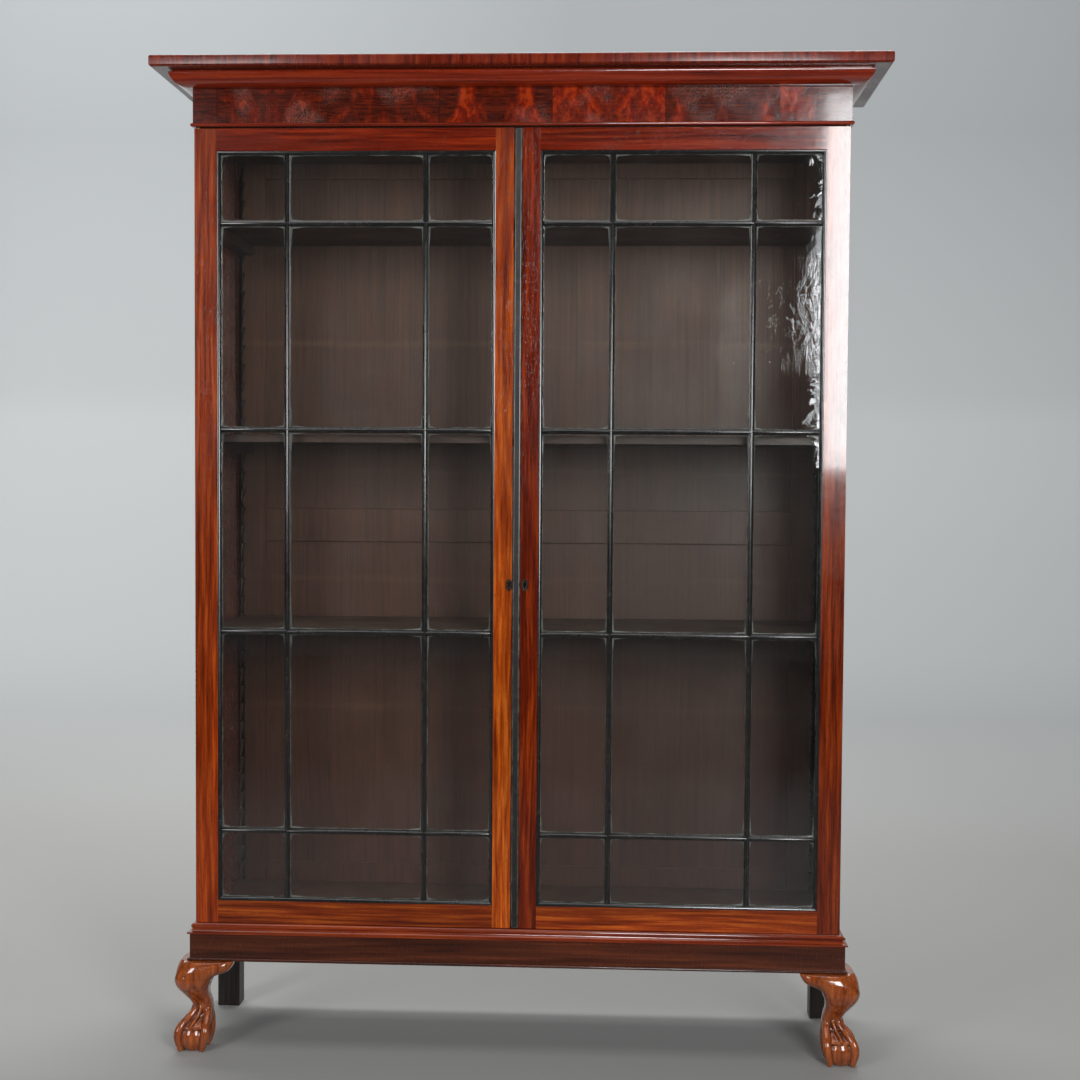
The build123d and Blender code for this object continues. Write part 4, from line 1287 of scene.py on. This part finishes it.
class BOOKCASE_OT_back_legs(bpy.types.Operator):
    """Plain stained back legs"""
    bl_idname = "bookcase.back_legs"
    bl_label = "Back legs"

    def execute(self, context):
        timber = context.scene.bookcase_timber
        dark = finish_of(
            "Stained hardwood", polished_timber, [c * 0.4 for c in timber.back_leg], timber.back_leg,
            [c * 2.0 for c in timber.back_leg], width=0.006, gloss=0.42, coat=0.1, wear=0.6,
            edge=tint(112, 92, 74))
        for side in SIDES:
            finish_board(f"leg_back_{side}", dark, timber.edge * 1.6)
        return {"FINISHED"}


class BOOKCASE_OT_ironwork(bpy.types.Operator):
    """Escutcheons, lock, bolts, hinges and screws"""
    bl_idname = "bookcase.ironwork"
    bl_label = "Ironwork"

    def execute(self, context):
        iron = finish_of("Dark iron", old_metal, tint(62, 56, 50), tint(150, 142, 130), 0.5)
        steel = finish_of("Dull steel", old_metal, tint(120, 117, 112), tint(190, 188, 182), 0.42)
        brass = finish_of(
            "Old brass", old_metal, tint(142, 112, 62), tint(206, 174, 108), 0.4, spots=tint(70, 50, 26))
        fine = 0.25 * MM
        for node in ("left_escutcheon", "right_escutcheon", "lock_case", "bolt_barrels"):
            finish_board(node, iron, fine)
        for node in ("lock_bolt", "top_bolt", "bottom_bolt"):
            finish_board(node, steel, fine)
        for node in ("left_hinge_plates", "right_hinge_plates", "hinge_case_plates"):
            finish_board(node, brass, fine)
        for node in ("left_hinge_screws", "right_hinge_screws", "hinge_case_screws"):
            dress(node, steel)
        return {"FINISHED"}


class BOOKCASE_OT_studio(bpy.types.Operator):
    """Pale floor, soft lights and the camera"""
    bl_idname = "bookcase.studio"
    bl_label = "Studio"

    def execute(self, context):
        studio = context.scene.bookcase_studio
        scene = context.scene
        backdrop()
        area_light("softbox_right", (1.45, -3.3, 1.85), (1.45, 0, 1.85), (1.0, 1.4), studio.key,
                   (0.97, 0.985, 1.0))
        area_light("softbox_left", (-2.45, -3.3, 1.9), (-2.45, 0, 1.9), (1.0, 1.6), studio.fill)
        area_light("light_overhead", (0, -0.9, 3.9), (0, -0.2, 0), (3.6, 1.6), studio.top)
        area_light("light_backdrop", (-0.6, 2.6, 5.6), (-0.3, 5.6, 1.6), (8.0, 1.6), studio.backdrop)
        area_light("light_behind", (0, 2.2, 3.6), (0, 0, 0.9), (3.0, 1.2), studio.back)
        world = bpy.data.worlds.new("Studio air")
        world.use_nodes = True
        make = Recipe(world.node_tree)
        background = world.node_tree.nodes["Background"]
        background.inputs["Color"].default_value = (0.86, 0.9, 0.93, 1.0)
        strength = make.spread(make.add("LightPath").outputs["Is Camera Ray"], 0.0, 1.0, 0.035, 0.46)
        make.tree.links.new(strength, background.inputs["Strength"])
        scene.world = world
        scene.view_settings.view_transform = "Standard"
        camera = bpy.data.cameras.new("camera")
        camera.lens = studio.lens
        camera.sensor_width = 36.0
        holder = bpy.data.objects.new("camera", camera)
        tilt, roll, turn = studio.turn
        holder.matrix_world = (Matrix.Translation(studio.place) @ Matrix.Rotation(turn, 4, "Z")
                               @ Matrix.Rotation(math.pi / 2 - tilt, 4, "X")
                               @ Matrix.Rotation(roll, 4, "Z"))
        scene.collection.objects.link(holder)
        scene.camera = holder
        return {"FINISHED"}


class BOOKCASE_PT_panel(bpy.types.Panel):
    """Lists the pieces and what can be changed about them"""
    bl_idname = "BOOKCASE_PT_panel"
    bl_label = "Bookcase"
    bl_space_type = "VIEW_3D"
    bl_region_type = "UI"
    bl_category = "Bookcase"

    def draw(self, context):
        layout = self.layout
        for settings in (context.scene.bookcase_timber, context.scene.bookcase_glass,
                         context.scene.bookcase_studio):
            for name in settings.__annotations__:
                layout.prop(settings, name)
        for operator in OPERATORS:
            layout.operator(operator.bl_idname)


OPERATORS = (BOOKCASE_OT_studio, BOOKCASE_OT_doors, BOOKCASE_OT_glazing_bars, BOOKCASE_OT_panes,
             BOOKCASE_OT_carcass, BOOKCASE_OT_shelves, BOOKCASE_OT_cornice, BOOKCASE_OT_base,
             BOOKCASE_OT_front_legs, BOOKCASE_OT_back_legs, BOOKCASE_OT_ironwork)
CLASSES = (TimberSettings, GlassSettings, StudioSettings, *OPERATORS, BOOKCASE_PT_panel)


def register():
    for cls in CLASSES:
        bpy.utils.register_class(cls)
    bpy.types.Scene.bookcase_timber = PointerProperty(type=TimberSettings)
    bpy.types.Scene.bookcase_glass = PointerProperty(type=GlassSettings)
    bpy.types.Scene.bookcase_studio = PointerProperty(type=StudioSettings)


def unregister():
    for name in ("bookcase_timber", "bookcase_glass", "bookcase_studio"):
        delattr(bpy.types.Scene, name)
    for cls in reversed(CLASSES):
        bpy.utils.unregister_class(cls)


def main():
    register()
    for operator in OPERATORS:
        group, name = operator.bl_idname.split(".")
        getattr(getattr(bpy.ops, group), name)()


if __name__ == "__main__":
    main()
